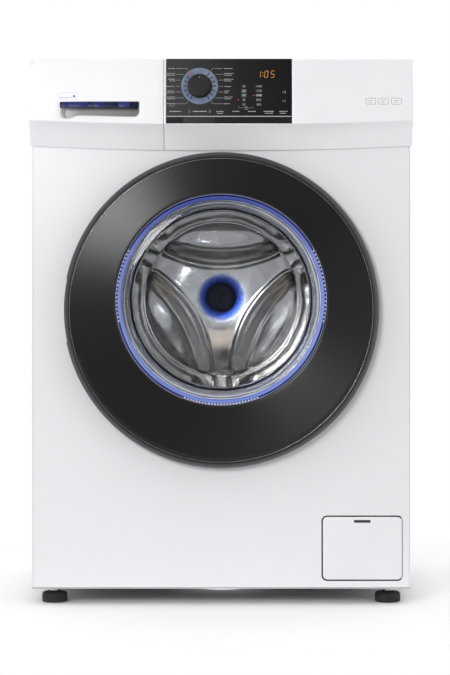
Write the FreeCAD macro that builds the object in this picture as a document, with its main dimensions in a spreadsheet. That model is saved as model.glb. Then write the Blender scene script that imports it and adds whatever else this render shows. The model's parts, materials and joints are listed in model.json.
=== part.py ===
import FreeCAD, Part
import math
import os

import Sketcher

# Front-loading washing machine, in millimetres. +Z is up, the door faces -Y, and the origin lies
# on the floor under the middle of the machine's box.

DIMENSIONS = (
    # overall
    ("width", 595), ("height", 850), ("front_reach", 250), ("rear_reach", 250),
    # sheet-metal cabinet
    ("cabinet_half", 295), ("front_face", 214), ("rear_face", 236), ("sheet_gauge", 1.5),
    ("pan_top", 27), ("pan_gauge", 2.5), ("wall_top", 826), ("flange", 14), ("pan_wall", 60),
    ("worktop_rear", 240), ("front_panel_top", 716), ("panel_gap", 0.3),
    # feet
    ("foot_radius", 20), ("foot_pad", 16), ("foot_x", 262), ("foot_front", 180), ("foot_rear", 205),
    # control fascia and drawer front
    ("fascia_top", 849), ("fascia_lean", 12), ("crease_depth", 244), ("crease_mid", 747.2),
    ("crease_rise", 6.2), ("fascia_foot", 217), ("foot_mid", 707.7), ("foot_rise", 7.3),
    ("fascia_back", 214.5), ("skin", 3), ("drawer_right", -89.3), ("fascia_left", -88.5),
    # glossy control window, dial and keys
    ("window_left", -85.2), ("window_right", 109.7), ("window_low", 757.4), ("window_top", 849.6),
    ("window_proud", 0.6), ("window_gauge", 3), ("dial_x", -33.3), ("dial_z", 806.6),
    ("dial_ring", 28.7), ("dial_ring_hole", 18.4), ("knob_radius", 17.9), ("knob_reach", 10),
    ("key_low", 748.6), ("key_high", 757), ("key_gap", 0.6), ("key_depth", 4),
    # door
    ("door_z", 459.3), ("door_radius", 245.6), ("port_z", 475.6), ("port_radius", 164),
    ("hinge_x", 229), ("hinge_y", 235), ("hinge_half", 46), ("latch_x", 208),
    # drum, tub and drive
    ("drum_radius", 240), ("drum_front", 140), ("drum_rear", 105), ("drum_gauge", 1.2),
    ("drum_mouth", 160), ("tub_radius", 250), ("tub_wall", 4), ("tub_front_y", 165),
    ("tub_split", 10), ("tub_rear_y", 140), ("tub_mouth", 168), ("shaft_radius", 12.5),
    ("pulley_radius", 130), ("pulley_front", 172), ("pulley_width", 16),
    ("motor_x", -30), ("motor_z", 133), ("motor_radius", 60), ("motor_pulley", 12),
    # suspension
    ("spring_x", 243), ("spring_y", 100), ("spring_low", 607), ("spring_high", 788),
    ("damper_x", 150), ("damper_y", 60),
    # drain pump and service flap
    ("pump_x", 220), ("pump_z", 88), ("pump_radius", 32), ("flap_left", 156.5),
    ("flap_right", 284), ("flap_low", 36.4), ("flap_high", 138.6), ("flap_corner", 9),
    # detergent dispenser
    ("box_left", 280.6), ("box_right", 97), ("box_low", 722), ("box_high", 820), ("box_rear", 78),
)


class Size:
    """A length that knows its value and the sheet expression that it comes from."""

    def __init__(self, value, text):
        self.value = float(value)
        self.text = text

    def __add__(self, other):
        other = as_size(other)
        return Size(self.value + other.value, "({} + {})".format(self.text, other.text))

    def __sub__(self, other):
        other = as_size(other)
        return Size(self.value - other.value, "({} - {})".format(self.text, other.text))

    def __mul__(self, factor):
        return Size(self.value * factor, "({} * {})".format(self.text, factor))

    def __neg__(self):
        return Size(-self.value, "(0 - {})".format(self.text))


def as_size(value):
    if isinstance(value, Size):
        return value
    return Size(value, repr(float(value)))


doc = FreeCAD.newDocument("washing_machine")
sheet = doc.addObject("Spreadsheet::Sheet", "Dimensions")
D = {}
for row, (alias, number) in enumerate(DIMENSIONS, start=1):
    cell = "A{}".format(row)
    sheet.set(cell, str(number))
    sheet.setAlias(cell, alias)
    D[alias] = Size(number, "Dimensions.{}".format(alias))
doc.recompute()

nodes = []


def node(label, item):
    """Name a finished piece; its label is its file's name."""
    item.Label = label
    nodes.append(item)
    return item


# ---------------------------------------------------------------- helpers

def bind(item, name, size):
    item.setExpression(name, as_size(size).text)


def place(item, corner, rotation=None):
    if rotation is not None:
        item.Placement = FreeCAD.Placement(FreeCAD.Vector(), rotation)
    for letter, size in zip("xyz", corner):
        bind(item, "Placement.Base." + letter, size)


def block(low, high):
    """A box between two opposite corners."""
    item = doc.addObject("Part::Box", "Block")
    for name, start, end in zip(("Length", "Width", "Height"), low, high):
        bind(item, name, as_size(end) - start)
    place(item, low)
    return item


AXES = {
    "x": FreeCAD.Rotation(FreeCAD.Vector(0, 1, 0), 90),
    "y": FreeCAD.Rotation(FreeCAD.Vector(1, 0, 0), -90),
    "z": FreeCAD.Rotation(),
}


def rod(start, radius, length, axis="z"):
    """A cylinder that starts at a point and runs along +x, +y or +z."""
    item = doc.addObject("Part::Cylinder", "Rod")
    bind(item, "Radius", radius)
    bind(item, "Height", length)
    place(item, start, AXES[axis])
    return item


def fuse(*parts):
    item = doc.addObject("Part::MultiFuse", "Fusion")
    item.Shapes = list(parts)
    return item


def cut(base, *tools):
    item = doc.addObject("Part::Cut", "Cut")
    item.Base = base
    item.Tool = tools[0] if len(tools) == 1 else fuse(*tools)
    return item


def common(first, second):
    item = doc.addObject("Part::Common", "Common")
    item.Base = first
    item.Tool = second
    return item


def group(*parts):
    """Separate solids that share one node."""
    item = doc.addObject("Part::Compound", "Group")
    item.Links = list(parts)
    return item


def rounded_slab(low, high, radius):
    """A slab in the XZ plane with rounded corners, between two opposite corners."""
    x0, y0, z0 = [as_size(v) for v in low]
    x1, y1, z1 = [as_size(v) for v in high]
    parts = [
        block((x0 + radius, y0, z0), (x1 - radius, y1, z1)),
        block((x0, y0, z0 + radius), (x1, y1, z1 - radius)),
    ]
    for x in (x0 + radius, x1 - radius):
        for z in (z0 + radius, z1 - radius):
            parts.append(rod((x, y0, z), radius, y1 - y0, "y"))
    return fuse(*parts)


def origin_plane(body, role):
    return next(plane for plane in body.Origin.OriginFeatures if plane.Role == role)


def new_sketch(body, role, offset=0):
    """A sketch on one of the body's own origin planes, moved along its normal."""
    sketch = body.newObject("Sketcher::SketchObject", "Sketch")
    sketch.AttachmentSupport = (origin_plane(body, role), [""])
    sketch.MapMode = "FlatFace"
    bind(sketch, "AttachmentOffset.Base.z", offset)
    return sketch


def tie(sketch, kind, geometry, point, size):
    """Hold one coordinate of a sketch point to the sheet."""
    size = as_size(size)
    index = sketch.addConstraint(Sketcher.Constraint(kind, -1, 1, geometry, point, size.value))
    sketch.setExpression("Constraints[{}]".format(index), size.text)


def outline(sketch, corners):
    """Draw a closed polygon whose every corner is tied to the sheet."""
    points = [FreeCAD.Vector(as_size(x).value, as_size(y).value, 0) for x, y in corners]
    first = sketch.GeometryCount
    count = len(points)
    for i in range(count):
        sketch.addGeometry(Part.LineSegment(points[i], points[(i + 1) % count]), False)
    for i in range(count):
        after = first + (i + 1) % count
        sketch.addConstraint(Sketcher.Constraint("Coincident", first + i, 2, after, 1))
    for i, (x, y) in enumerate(corners):
        tie(sketch, "DistanceX", first + i, 1, x)
        tie(sketch, "DistanceY", first + i, 1, y)


def ring_line(sketch, centre, radius):
    """Draw a circle whose centre and radius are tied to the sheet."""
    x, y = [as_size(v) for v in centre]
    radius = as_size(radius)
    middle = FreeCAD.Vector(x.value, y.value, 0)
    index = sketch.addGeometry(Part.Circle(middle, FreeCAD.Vector(0, 0, 1), radius.value), False)
    tie(sketch, "DistanceX", index, 3, x)
    tie(sketch, "DistanceY", index, 3, y)
    hold = sketch.addConstraint(Sketcher.Constraint("Radius", index, radius.value))
    sketch.setExpression("Constraints[{}]".format(hold), radius.text)


def new_body():
    return doc.addObject("PartDesign::Body", "Body")


def pad(body, role, corners, low, high, holes=()):
    """Pad a polygon, less round holes, from low to high along the plane's world axis."""
    low = as_size(low)
    high = as_size(high)
    offset = -high if role == "XZ_Plane" else low
    sketch = new_sketch(body, role, offset)
    outline(sketch, corners)
    for centre, radius in holes:
        ring_line(sketch, centre, radius)
    feature = body.newObject("PartDesign::Pad", "Pad")
    feature.Profile = sketch
    bind(feature, "Length", high - low)
    return feature


def turned(corners, centre_z, centre_x=0):
    """Revolve (radius, depth) corners about a front-to-back axis."""
    body = new_body()
    sketch = new_sketch(body, "XY_Plane")
    outline(sketch, corners)
    feature = body.newObject("PartDesign::Revolution", "Turn")
    feature.Profile = sketch
    feature.ReferenceAxis = (sketch, ["V_Axis"])
    feature.Angle = 360
    place(body, (centre_x, 0, centre_z))
    return body


def ring(outer, inner, low, high, centre_z, centre_x=0):
    """A plain ring about a front-to-back axis."""
    corners = ((inner, low), (outer, low), (outer, high), (inner, high))
    return turned(corners, centre_z, centre_x)


def solid(shape):
    """A piece whose shape is worked out here from the sheet's values."""
    item = doc.addObject("Part::Feature", "Worked")
    item.Shape = shape
    return item


def pipe(points, radius, bends):
    """A round bar along straight runs joined by tangent arcs."""
    corners = [FreeCAD.Vector(*point) for point in points]
    edges = []
    start = corners[0]
    for i, bend in enumerate(bends, start=1):
        before = (corners[i] - corners[i - 1]).normalize()
        after = (corners[i + 1] - corners[i]).normalize()
        half_turn = before.getAngle(after) / 2
        reach = bend * math.tan(half_turn)
        entry = corners[i] - before * reach
        leave = corners[i] + after * reach
        bisector = (after - before).normalize()
        middle = corners[i] + bisector * (bend / math.cos(half_turn) - bend)
        edges.append(Part.LineSegment(start, entry).toShape())
        edges.append(Part.Arc(entry, middle, leave).toShape())
        start = leave
    edges.append(Part.LineSegment(start, corners[-1]).toShape())
    path = Part.Wire(edges)
    circle = Part.Wire([Part.makeCircle(radius, corners[0], corners[1] - corners[0])])
    return path.makePipeShell([circle], True, False)


def hollow_pipe(points, outer, inner, bends):
    return solid(pipe(points, outer, bends).cut(pipe(points, inner, bends)))


half = D["cabinet_half"]
gauge = D["sheet_gauge"]
front = -D["front_face"]
rear = D["rear_face"]
half_width = D["width"] * 0.5
port_z = D["port_z"]
pan_top = D["pan_top"]


# ---------------------------------------------------------------- cabinet

def side_panel(side):
    """A pressed side sheet with its flanges turned in, and the welded spring bracket."""
    body = new_body()
    inner = half - gauge
    lip = half - D["flange"]
    tuck = front + 3
    corners = (
        (half, front), (half, rear), (lip, rear), (lip, rear - gauge), (inner, rear - gauge),
        (inner, tuck + gauge), (lip, tuck + gauge), (lip, tuck), (inner, tuck), (inner, front),
    )
    if side < 0:
        corners = [(-x, y) for x, y in reversed(corners)]
    pad(body, "XY_Plane", corners, pan_top, D["wall_top"])
    hook_low = D["spring_high"]
    bracket_in = D["spring_x"] - 12
    low_x, high_x = (bracket_in, inner) if side > 0 else (-inner, -bracket_in)
    bracket = block((low_x, D["spring_y"] - 15, hook_low), (high_x, D["spring_y"] + 15, hook_low + 4))
    return fuse(body, bracket)


node("left_side_panel", side_panel(-1))
node("right_side_panel", side_panel(1))

cover_z = 440
rear_edge = half - D["flange"] - D["panel_gap"]
body = new_body()
rear_corners = (
    (-rear_edge, pan_top), (rear_edge, pan_top),
    (rear_edge, D["wall_top"]), (-rear_edge, D["wall_top"]),
)
drain_x = 264
drain_z = 735
valve_x = -200
valve_z = 783
gland_x = 150
gland_z = 765
pad(body, "XZ_Plane", rear_corners, rear - gauge, rear, holes=(
    ((0, cover_z), 212), ((drain_x, drain_z), 12), ((valve_x, valve_z), 14), ((gland_x, gland_z), 9.4),
))
node("rear_panel", body)

cover_corners = (
    (0, rear + 8.8), (200, rear + 8.8), (211, rear), (230, rear), (230, rear + 1.2),
    (212, rear + 1.2), (201, rear + 10), (0, rear + 10),
)
node("rear_cover", turned(cover_corners, cover_z))

# front panel: flat sheet with a turned-in collar round the porthole, a latch slot and a flap cut-out
panel_edge = half - gauge - D["panel_gap"]
body = new_body()
panel_corners = (
    (-panel_edge, pan_top), (panel_edge, pan_top),
    (panel_edge, D["front_panel_top"]), (-panel_edge, D["front_panel_top"]),
)
pad(body, "XZ_Plane", panel_corners, front, front + gauge, holes=(((0, port_z), 166.5),))
collar = ring(168, 165.6, front + 1, front + 18, port_z)
flap_gap = 2.2
flap_low = (D["flap_left"] + flap_gap, front - 1, D["flap_low"] + flap_gap)
flap_high = (D["flap_right"] - flap_gap, front + 3, D["flap_high"] - flap_gap)
flap_hole = rounded_slab(
    (D["flap_left"], front - 1, D["flap_low"]), (D["flap_right"], front + 3, D["flap_high"]),
    D["flap_corner"])
latch_slot = block((D["latch_x"] - 12, front - 1, D["door_z"] - 13),
                   (D["latch_x"] + 14, front + 3, D["door_z"] + 13))
node("front_panel", cut(fuse(body, collar), flap_hole, latch_slot))

# base pan: floor plate that the sheets stand on, with upstanding walls inside them
pan_x = half - D["flange"] - 1
pan_front = front + 6
pan_rear = rear - 4
pan_floor = block((-half, front, pan_top - D["pan_gauge"]), (half, rear, pan_top))
pan_outer = block((-pan_x, pan_front, pan_top - 1), (pan_x, pan_rear, D["pan_wall"]))
pan_inner = block((-pan_x + 3, pan_front + 3, pan_top), (pan_x - 3, pan_rear - 3, D["pan_wall"] + 1))
recess_notch = block((150, pan_front - 1, 36), (pan_x + 1, pan_front + 20, D["pan_wall"] + 1))
node("base_pan", cut(fuse(pan_floor, pan_outer), pan_inner, recess_notch))


def foot(x, y):
    """A screw-in foot: rubber pad, hexagon nut and threaded stem below the pan."""
    stem = rod((x, y, 0), 5, pan_top - D["pan_gauge"])
    nut = rod((x, y, D["foot_pad"] + 3), 9, 5)
    pad_disc = rod((x, y, 0), D["foot_radius"], D["foot_pad"])
    return fuse(pad_disc, stem, nut)


feet = []
for foot_x in (-D["foot_x"], D["foot_x"]):
    for foot_y in (-D["foot_front"], D["foot_rear"]):
        feet.append(foot(foot_x, foot_y))
node("levelling_feet", group(*feet))

# worktop: laminated board in a moulded rim that overhangs the walls
top_front = front + 1
worktop_rim = block((-half_width, top_front, D["wall_top"]),
                    (half_width, D["worktop_rear"], D["height"]))
worktop_relief = block((-half + 4, top_front + 6, D["wall_top"] - 1),
                       (half - 4, rear - 4, D["wall_top"] + 4))
node("worktop", cut(worktop_rim, worktop_relief))

beam_x = half - D["flange"] - 0.5
front_beam = block((-beam_x, front + 5, 710.5), (beam_x, front + 24, 720.5))
rear_beam = block((-beam_x, rear - 24, 801), (beam_x, rear - 2, 823))
node("top_crossbeams", group(front_beam, rear_beam))


# ---------------------------------------------------------------- fascia and drawer front

STATIONS = 9
COVE_STEPS = 6


def bow(x):
    """How far up the curved edges have risen at a distance from the middle."""
    return (x / half_width.value) ** 2


def cove(x, steps):
    """Points from the crease down the hollow flank to the fascia's lower edge."""
    top = D["crease_mid"].value + D["crease_rise"].value * bow(x)
    low = D["foot_mid"].value + D["foot_rise"].value * bow(x)
    crease = (-D["crease_depth"].value, top)
    pull = (-222, top - 14)
    end = (-D["fascia_foot"].value, low)
    points = []
    for step in range(steps + 1):
        t = step / COVE_STEPS
        weights = ((1 - t) ** 2, 2 * t * (1 - t), t ** 2)
        y = sum(w * p[0] for w, p in zip(weights, (crease, pull, end)))
        z = sum(w * p[1] for w, p in zip(weights, (crease, pull, end)))
        points.append((y, z))
    return points


def lofted(section, low_x, high_x):
    """A solid through the same section at even stations across the machine."""
    wires = []
    for station in range(STATIONS):
        x = low_x + (high_x - low_x) * station / (STATIONS - 1)
        points = [FreeCAD.Vector(x, y, z) for y, z in section(x)]
        wires.append(Part.makePolygon(points + points[:1]))
    return Part.makeLoft(wires, True, True)


face_top = (-(D["crease_depth"] - D["fascia_lean"])).value
top_z = D["fascia_top"].value
back_y = -D["fascia_back"].value
skin = D["skin"].value


def skin_section(x):
    flank = cove(x, COVE_STEPS)
    return [(back_y, top_z), (face_top, top_z)] + flank + [(back_y, flank[-1][1])]


def core_section(x):
    flank = [(y + skin, z + 2) for y, z in cove(x, COVE_STEPS - 2)]
    return ([(back_y + 5, top_z - skin), (face_top + skin, top_z - skin)] + flank
            + [(back_y + 5, flank[-1][1])])


outer_x = half_width.value
fascia_left = D["fascia_left"].value
drawer_right = D["drawer_right"].value
window_bay = block((D["window_left"] - 0.2, -260, D["key_low"] - 0.4),
                   (D["window_right"] + 0.2, face_top + skin + 0.5, 860))
fascia_blank = solid(lofted(skin_section, fascia_left, outer_x))
fascia_core = solid(lofted(core_section, fascia_left + skin, outer_x - skin))
node("control_fascia", cut(fascia_blank, fascia_core, window_bay))

# drawer front: same section, with a finger pocket let into its face
grip_left = -250
grip_right = -127.4
grip_low = 756
grip_high = 782
drawer_blank = solid(lofted(skin_section, -outer_x, drawer_right))
drawer_core = solid(lofted(core_section, skin - outer_x, drawer_right - skin))
pocket_wall = block((grip_left - 3, -241, grip_low - 3), (grip_right + 3, -221, grip_high + 3))
pocket_shell = common(pocket_wall, drawer_blank)
pocket = rounded_slab((grip_left, -260, grip_low), (grip_right, -224, grip_high), 5)
node("drawer_front", cut(fuse(cut(drawer_blank, drawer_core), pocket_shell), pocket))
node("drawer_grip", block((grip_left + 6, -239.6, grip_high - 9), (grip_right - 6, -237, grip_high)))

# control window: a slab parallel to the leaning face, with its two blank keys in one piece
lean = D["fascia_lean"].value / (top_z - D["crease_mid"].value)


def face_y(z, proud):
    """Depth of the leaning face at a height, moved out by a distance."""
    return face_top - lean * (top_z - z) - proud


def leaning_slab(x0, x1, z0, z1, proud, depth):
    """A slab that follows the leaning face, its front proud of it."""
    body = new_body()
    y0 = face_y(as_size(z0).value, as_size(proud).value)
    y1 = face_y(as_size(z1).value, as_size(proud).value)
    corners = ((y0, z0), (as_size(y0) + depth, z0), (as_size(y1) + depth, z1), (y1, z1))
    pad(body, "YZ_Plane", corners, x0, x1)
    return body


KEY_EDGES = (-85.2, -59.2, -32.9, -9.1, 13.6, 39.1, 62.8, 86.5, 109.7)
KEY_NAMES = {0: "power_key", 3: "start_key", 4: "temperature_key", 5: "spin_speed_key",
             6: "delay_key", 7: "extra_rinse_key"}
proud = D["window_proud"]
lean_turn = math.atan(lean)
face_normal = FreeCAD.Vector(0, -math.cos(lean_turn), math.sin(lean_turn))
tilt = FreeCAD.Rotation(FreeCAD.Vector(0, 0, 1), face_normal)
dial_z = D["dial_z"].value
dial_face = FreeCAD.Vector(D["dial_x"].value, face_y(dial_z, proud.value), dial_z)


def dial_rod(radius, low, high):
    """A cylinder on the dial's axis; distances are measured out from the window."""
    item = doc.addObject("Part::Cylinder", "DialRod")
    bind(item, "Radius", radius)
    bind(item, "Height", as_size(high) - low)
    item.Placement = FreeCAD.Placement(dial_face + face_normal * as_size(low).value, tilt)
    return item


window_parts = [
    leaning_slab(D["window_left"], D["window_right"], D["window_low"], D["window_top"], proud,
                 D["window_gauge"]),
    leaning_slab(KEY_EDGES[1] + 0.4, KEY_EDGES[3] - 0.4, D["key_low"], D["window_low"] + 0.1, proud,
                 D["window_gauge"]),
]
node("control_window", cut(fuse(*window_parts), dial_rod(3.5, -20, 5)))
node("dial_light_ring", cut(dial_rod(D["dial_ring"], 0, 1.2), dial_rod(D["dial_ring_hole"], -1, 3)))
node("programme_knob", fuse(dial_rod(D["knob_radius"], 0.4, D["knob_reach"]), dial_rod(3, -18, 1)))

for index, name in KEY_NAMES.items():
    key_left = KEY_EDGES[index] + D["key_gap"].value / 2
    key_right = KEY_EDGES[index + 1] - D["key_gap"].value / 2
    cap = leaning_slab(key_left, key_right, D["key_low"], D["key_high"], proud, D["key_depth"])
    middle = (key_left + key_right) / 2
    stem = rod((middle, -241, 752.8), 2, 21, "y")
    node(name, fuse(cap, stem))

node("control_board", cut(block((-82, -216.5, 744), (106, -214.9, 842)),
                          rod((D["dial_x"], -230, 803), 5, 30, "y")))


# ---------------------------------------------------------------- door

door_z = D["door_z"]
rim = D["door_radius"]
port = D["port_radius"]
back_plate = -222
bezel_front = -246.6
face_edge = -245.6
face_front = -D["front_reach"]
ring_corners = (
    (rim - 6, -218.5), (rim, -228), (rim - 8.5, bezel_front), (rim - 11, bezel_front),
    (rim - 12, face_edge), (port + 1, face_front), (port - 24, face_front),
    (port - 24, face_front + 3), (port + 1, face_front + 3), (rim - 12, face_edge + 2.8),
    (rim - 11, face_edge + 2.4), (rim - 3.4, -228), (rim - 9, -218.5),
)
hinge_low = door_z - D["hinge_half"]
hinge_high = door_z + D["hinge_half"]
hinge_notch = block((-250, -233, hinge_low - 3), (-226, -210, hinge_high + 3))
porthole = rod((0, -260, port_z), port + 0.3, 60, "y")
node("door_outer_ring", cut(turned(ring_corners, door_z), porthole, hinge_notch))

frame_disc = rod((0, back_plate, door_z), rim - 9.3, 3, "y")
frame_hole = rod((0, -230, port_z), 150.3, 20, "y")
hinge_slot = block((-250, -230, hinge_low - 3), (-172, -210, hinge_high + 3))
latch_x = D["latch_x"]
latch_hole = block((latch_x - 9, -230, door_z - 9), (latch_x + 11, -210, door_z + 9))
hinge_pivot = (-D["hinge_x"], -D["hinge_y"])
knuckle_half = D["hinge_half"] - 15
knuckle = rod((hinge_pivot[0], hinge_pivot[1], door_z - knuckle_half), 6.5, knuckle_half * 2)
leaf = block((hinge_pivot[0], -231, door_z - knuckle_half), (-168, -228, door_z + knuckle_half))
leaf_foot = block((-171, -231, door_z - knuckle_half), (-168, back_plate + 3, door_z + knuckle_half))
pin_bore = rod((hinge_pivot[0], hinge_pivot[1], door_z - 60), 3.45, 120)
inner_frame = cut(fuse(cut(frame_disc, frame_hole, hinge_slot), knuckle, leaf, leaf_foot),
                  pin_bore, latch_hole)
node("door_inner_frame", inner_frame)

node("door_light_ring", ring(port, port - 7, -246, -227.2, port_z))
node("door_window", rod((0, -240, port_z), port - 7.2, 4, "y"))
glass_corners = (
    (0, -124), (100, -127), (112, -134), (149.5, -221.9), (149.5, -222.2), (162, -222.2),
    (162, -227), (145.3, -227), (108.3, -136), (98, -131), (0, -128),
)
node("door_glass", turned(glass_corners, port_z))

# fixed hinge bracket: a plate on the panel with two goose-neck arms that carry the pin
arm_z = D["hinge_half"] - 11
bracket_plate = block((-205, front - 3, hinge_low), (-178, front, hinge_high))
ARM_OUTLINE = ((-3.5, -4), (4, -4), (43, 15), (43, 20), (33, 20), (4, 4.2), (-3.5, 4))
arms = []
for level in (door_z - arm_z - 3, door_z + arm_z - 3):
    body = new_body()
    arm_corners = [(hinge_pivot[0] + x, hinge_pivot[1] + y) for x, y in ARM_OUTLINE]
    pad(body, "XY_Plane", arm_corners, level, level + 6)
    arms.append(body)
pin_hole = rod((hinge_pivot[0], hinge_pivot[1], door_z - 60), 3, 120)
node("door_hinge_bracket", cut(fuse(bracket_plate, *arms), pin_hole))
pin_half = D["hinge_half"] - 6
pin_start = (hinge_pivot[0], hinge_pivot[1], door_z - pin_half)
node("door_hinge_pin", rod(pin_start, 3, pin_half * 2))

hook_stem = block((latch_x - 3, -236, door_z - 5), (latch_x + 3, -199, door_z + 5))
hook_barb = block((latch_x - 3, -203, door_z - 5), (latch_x + 8, -199, door_z + 5))
hook_eye = rod((latch_x, -236, door_z - 8), 5, 16)
node("door_latch_hook", fuse(hook_stem, hook_barb, hook_eye))
lock_body = block((latch_x - 16, front + 2, door_z - 20), (latch_x + 26, front + 25, door_z + 20))
lock_slot = block((latch_x - 9, front + 1, door_z - 9), (latch_x + 14, front + 20, door_z + 9))
node("door_lock", cut(lock_body, lock_slot))


# ---------------------------------------------------------------- detergent dispenser

wall = 2.5
box_x0 = -D["box_left"]
box_x1 = -D["box_right"]
box_front = front + 4
box_outer = block((box_x0, box_front, D["box_low"]), (box_x1, D["box_rear"], D["box_high"]))
box_inner = block((box_x0 + wall, box_front - 1, D["box_low"] + wall),
                  (box_x1 - wall, D["box_rear"] - wall, D["box_high"] - wall))
spout_x = -190
spout_y = 40
spout = rod((spout_x, spout_y, D["box_low"] - 14), 17.5, 15)
spout_bore = rod((spout_x, spout_y, D["box_low"] - 20), 14, 30)
feed_bore = rod((valve_x, D["box_rear"] - 10, valve_z), 5, 20, "y")
node("dispenser_box", cut(fuse(box_outer, spout), box_inner, spout_bore, feed_bore))

tray_x0 = -276
tray_x1 = -102
tray_front = back_y
tray_low = 730
tray_high = 792
tray = block((tray_x0, tray_front, tray_low), (tray_x1, 60, tray_high))
bays = []
for left, right in ((-273, -216), (-213, -164), (-161, -105)):
    bays.append(block((left, tray_front + 12, tray_low + 4), (right, 55, tray_high + 1)))
node("detergent_tray", cut(tray, *bays))

valve_block = block((valve_x - 30, 206, valve_z - 16), (valve_x + 30, rear - 2, valve_z + 16))
thread_length = 12
valve_neck = rod((valve_x, rear - 3, valve_z), 11.5, 6, "y")
valve_thread = rod((valve_x, D["rear_reach"] - thread_length, valve_z), 13.2, thread_length, "y")
valve_bore = rod((valve_x, rear - 6, valve_z), 9, 30, "y")
coil = rod((valve_x + 14, 215, valve_z - 46), 13, 32)
valve_pipe = cut(rod((valve_x, D["box_rear"], valve_z), 8, 129, "y"),
                 rod((valve_x, D["box_rear"] - 1, valve_z), 5, 120, "y"))
node("inlet_valve", cut(fuse(valve_block, valve_neck, valve_thread, coil, valve_pipe), valve_bore))


# ---------------------------------------------------------------- tub

radius = D["tub_radius"]
shell = D["tub_wall"]
tub_front_y = -D["tub_front_y"]
tub_split = -D["tub_split"]
tub_rear_y = D["tub_rear_y"]
flange_radius = 257

# front half: mouth neck for the bellows, heater pocket, sump stub and joint flange
front_corners = (
    (D["tub_mouth"], -178), (D["tub_mouth"] + shell, -178), (D["tub_mouth"] + shell, tub_front_y),
    (radius + shell, tub_front_y), (radius + shell, tub_split - 8), (flange_radius, tub_split - 8),
    (flange_radius, tub_split), (radius, tub_split), (radius, tub_front_y + shell),
    (D["tub_mouth"], tub_front_y + shell),
)
tub_ring = turned(front_corners, port_z)
pocket_outer = block((-79, tub_front_y, 199), (79, -24, 262))
pocket_inner = block((-75, tub_front_y + 4, 203), (75, -28, 264))
drum_space = rod((0, tub_front_y + 4, port_z), radius, 200, "y")
heater_slot = block((-50, tub_front_y - 1, 208), (50, tub_front_y + 6, 220))
sump_x = 140
sump_y = -130
stub = cut(rod((sump_x, sump_y, 201), 15.5, 64), rod((sump_x, sump_y, 200), 12, 80))
stub_bore = rod((sump_x, sump_y, 200), 12, 90)
pocket_box = cut(pocket_outer, drum_space)
tub_shell = fuse(tub_ring, pocket_box, cut(stub, drum_space))
node("tub_front", cut(tub_shell, pocket_inner, heater_slot, stub_bore))

# rear half: back wall with the bearing hub, spring ears, damper lugs and the fill stub
hub_rear = 168
rear_profile = (
    (26.2, 131), (42, 131), (42, tub_rear_y - 5), (radius, tub_rear_y - 5), (radius, tub_split),
    (flange_radius, tub_split), (flange_radius, tub_split + 8), (radius + shell, tub_split + 8),
    (radius + shell, tub_rear_y), (42, tub_rear_y), (42, hub_rear), (26.2, hub_rear),
)
tub_back = turned(rear_profile, port_z)
ears = []
for side in (-1, 1):
    ear_in, ear_out = 215, 254
    x0, x1 = (ear_in, ear_out) if side > 0 else (-ear_out, -ear_in)
    ear_low = D["spring_low"] - 14
    ears.append(block((x0, D["spring_y"] - 8, ear_low), (x1, D["spring_y"] + 8, D["spring_low"])))
    middle = side * D["damper_x"].value
    ears.append(block((middle - 9, D["damper_y"] - 12, 256), (middle + 9, D["damper_y"] + 12, 285)))
fill_stub = rod((spout_x, spout_y, 620), 17.5, 58)
fill_bore = rod((spout_x, spout_y, 600), 14, 90)
tub_space = rod((0, tub_split - 10, port_z), radius, 155 - 10, "y")
attached = cut(fuse(*ears, fill_stub), tub_space)
node("tub_rear", cut(fuse(tub_back, attached), fill_bore))

gasket_corners = (
    (158, -212), (165.2, -212), (165.2, -196), (177, -186), (177, -167), (172.3, -167),
    (172.3, -180.5), (162, -189), (144.8, -203), (144.8, -206), (158, -207.5),
)
node("door_gasket", turned(gasket_corners, port_z))

legs = [rod((x, tub_front_y - 2, 214), 4, 125, "y") for x in (-40, 40)]
bridge = rod((-40, -44, 214), 4, 80, "x")
heater_flange = block((-54, tub_front_y - 4, 205), (54, tub_front_y, 223))
node("heater", fuse(heater_flange, *legs, bridge))

# concrete weights: a ring round the mouth, open at the door lock, and a block on top of the tub
ring_weight = ring(224, 184, -198, tub_front_y - 0.3, port_z)
lock_relief = block((160, -210, door_z - 34), (240, -150, door_z + 34))
top_block = block((-60, -60, 690), (160, 90, 790))
tub_round = rod((0, -70, port_z), flange_radius + 0.3, 180, "y")
node("counterweights", group(cut(ring_weight, lock_relief), cut(top_block, tub_round)))

bearing_bore = D["shaft_radius"] + 0.05
bearings = [
    ring(26.2, bearing_bore, 132, 147, port_z),
    ring(26.2, bearing_bore, 152, 167, port_z),
]
node("drum_bearings", group(*bearings))


# ---------------------------------------------------------------- drum

drum = D["drum_radius"]
drum_front = -D["drum_front"]
drum_rear = D["drum_rear"]
steel = D["drum_gauge"]
shell_corners = (
    (D["drum_mouth"], -150), (D["drum_mouth"] + 3, -150), (D["drum_mouth"] + 3, drum_front - steel),
    (drum, drum_front - steel), (drum, drum_rear), (drum - steel, drum_rear),
    (drum - steel, drum_front), (D["drum_mouth"], drum_front),
)
node("drum_shell", turned(shell_corners, port_z))

# back plate with three round dishes pressed into it, between the arms of the spider
LOBES = (90, 210, 330)
ARMS = (30, 150, 270)
dish_depth = 15
dish_radius = 86
dish_reach = 126
sphere_radius = (dish_radius ** 2 + dish_depth ** 2) / (2 * dish_depth)


def polar(distance, degrees):
    angle = math.radians(degrees)
    return distance * math.cos(angle), distance * math.sin(angle) + port_z.value


def ball(centre, size):
    item = doc.addObject("Part::Sphere", "Ball")
    item.Radius = size
    item.Placement.Base = FreeCAD.Vector(*centre)
    return item


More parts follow.
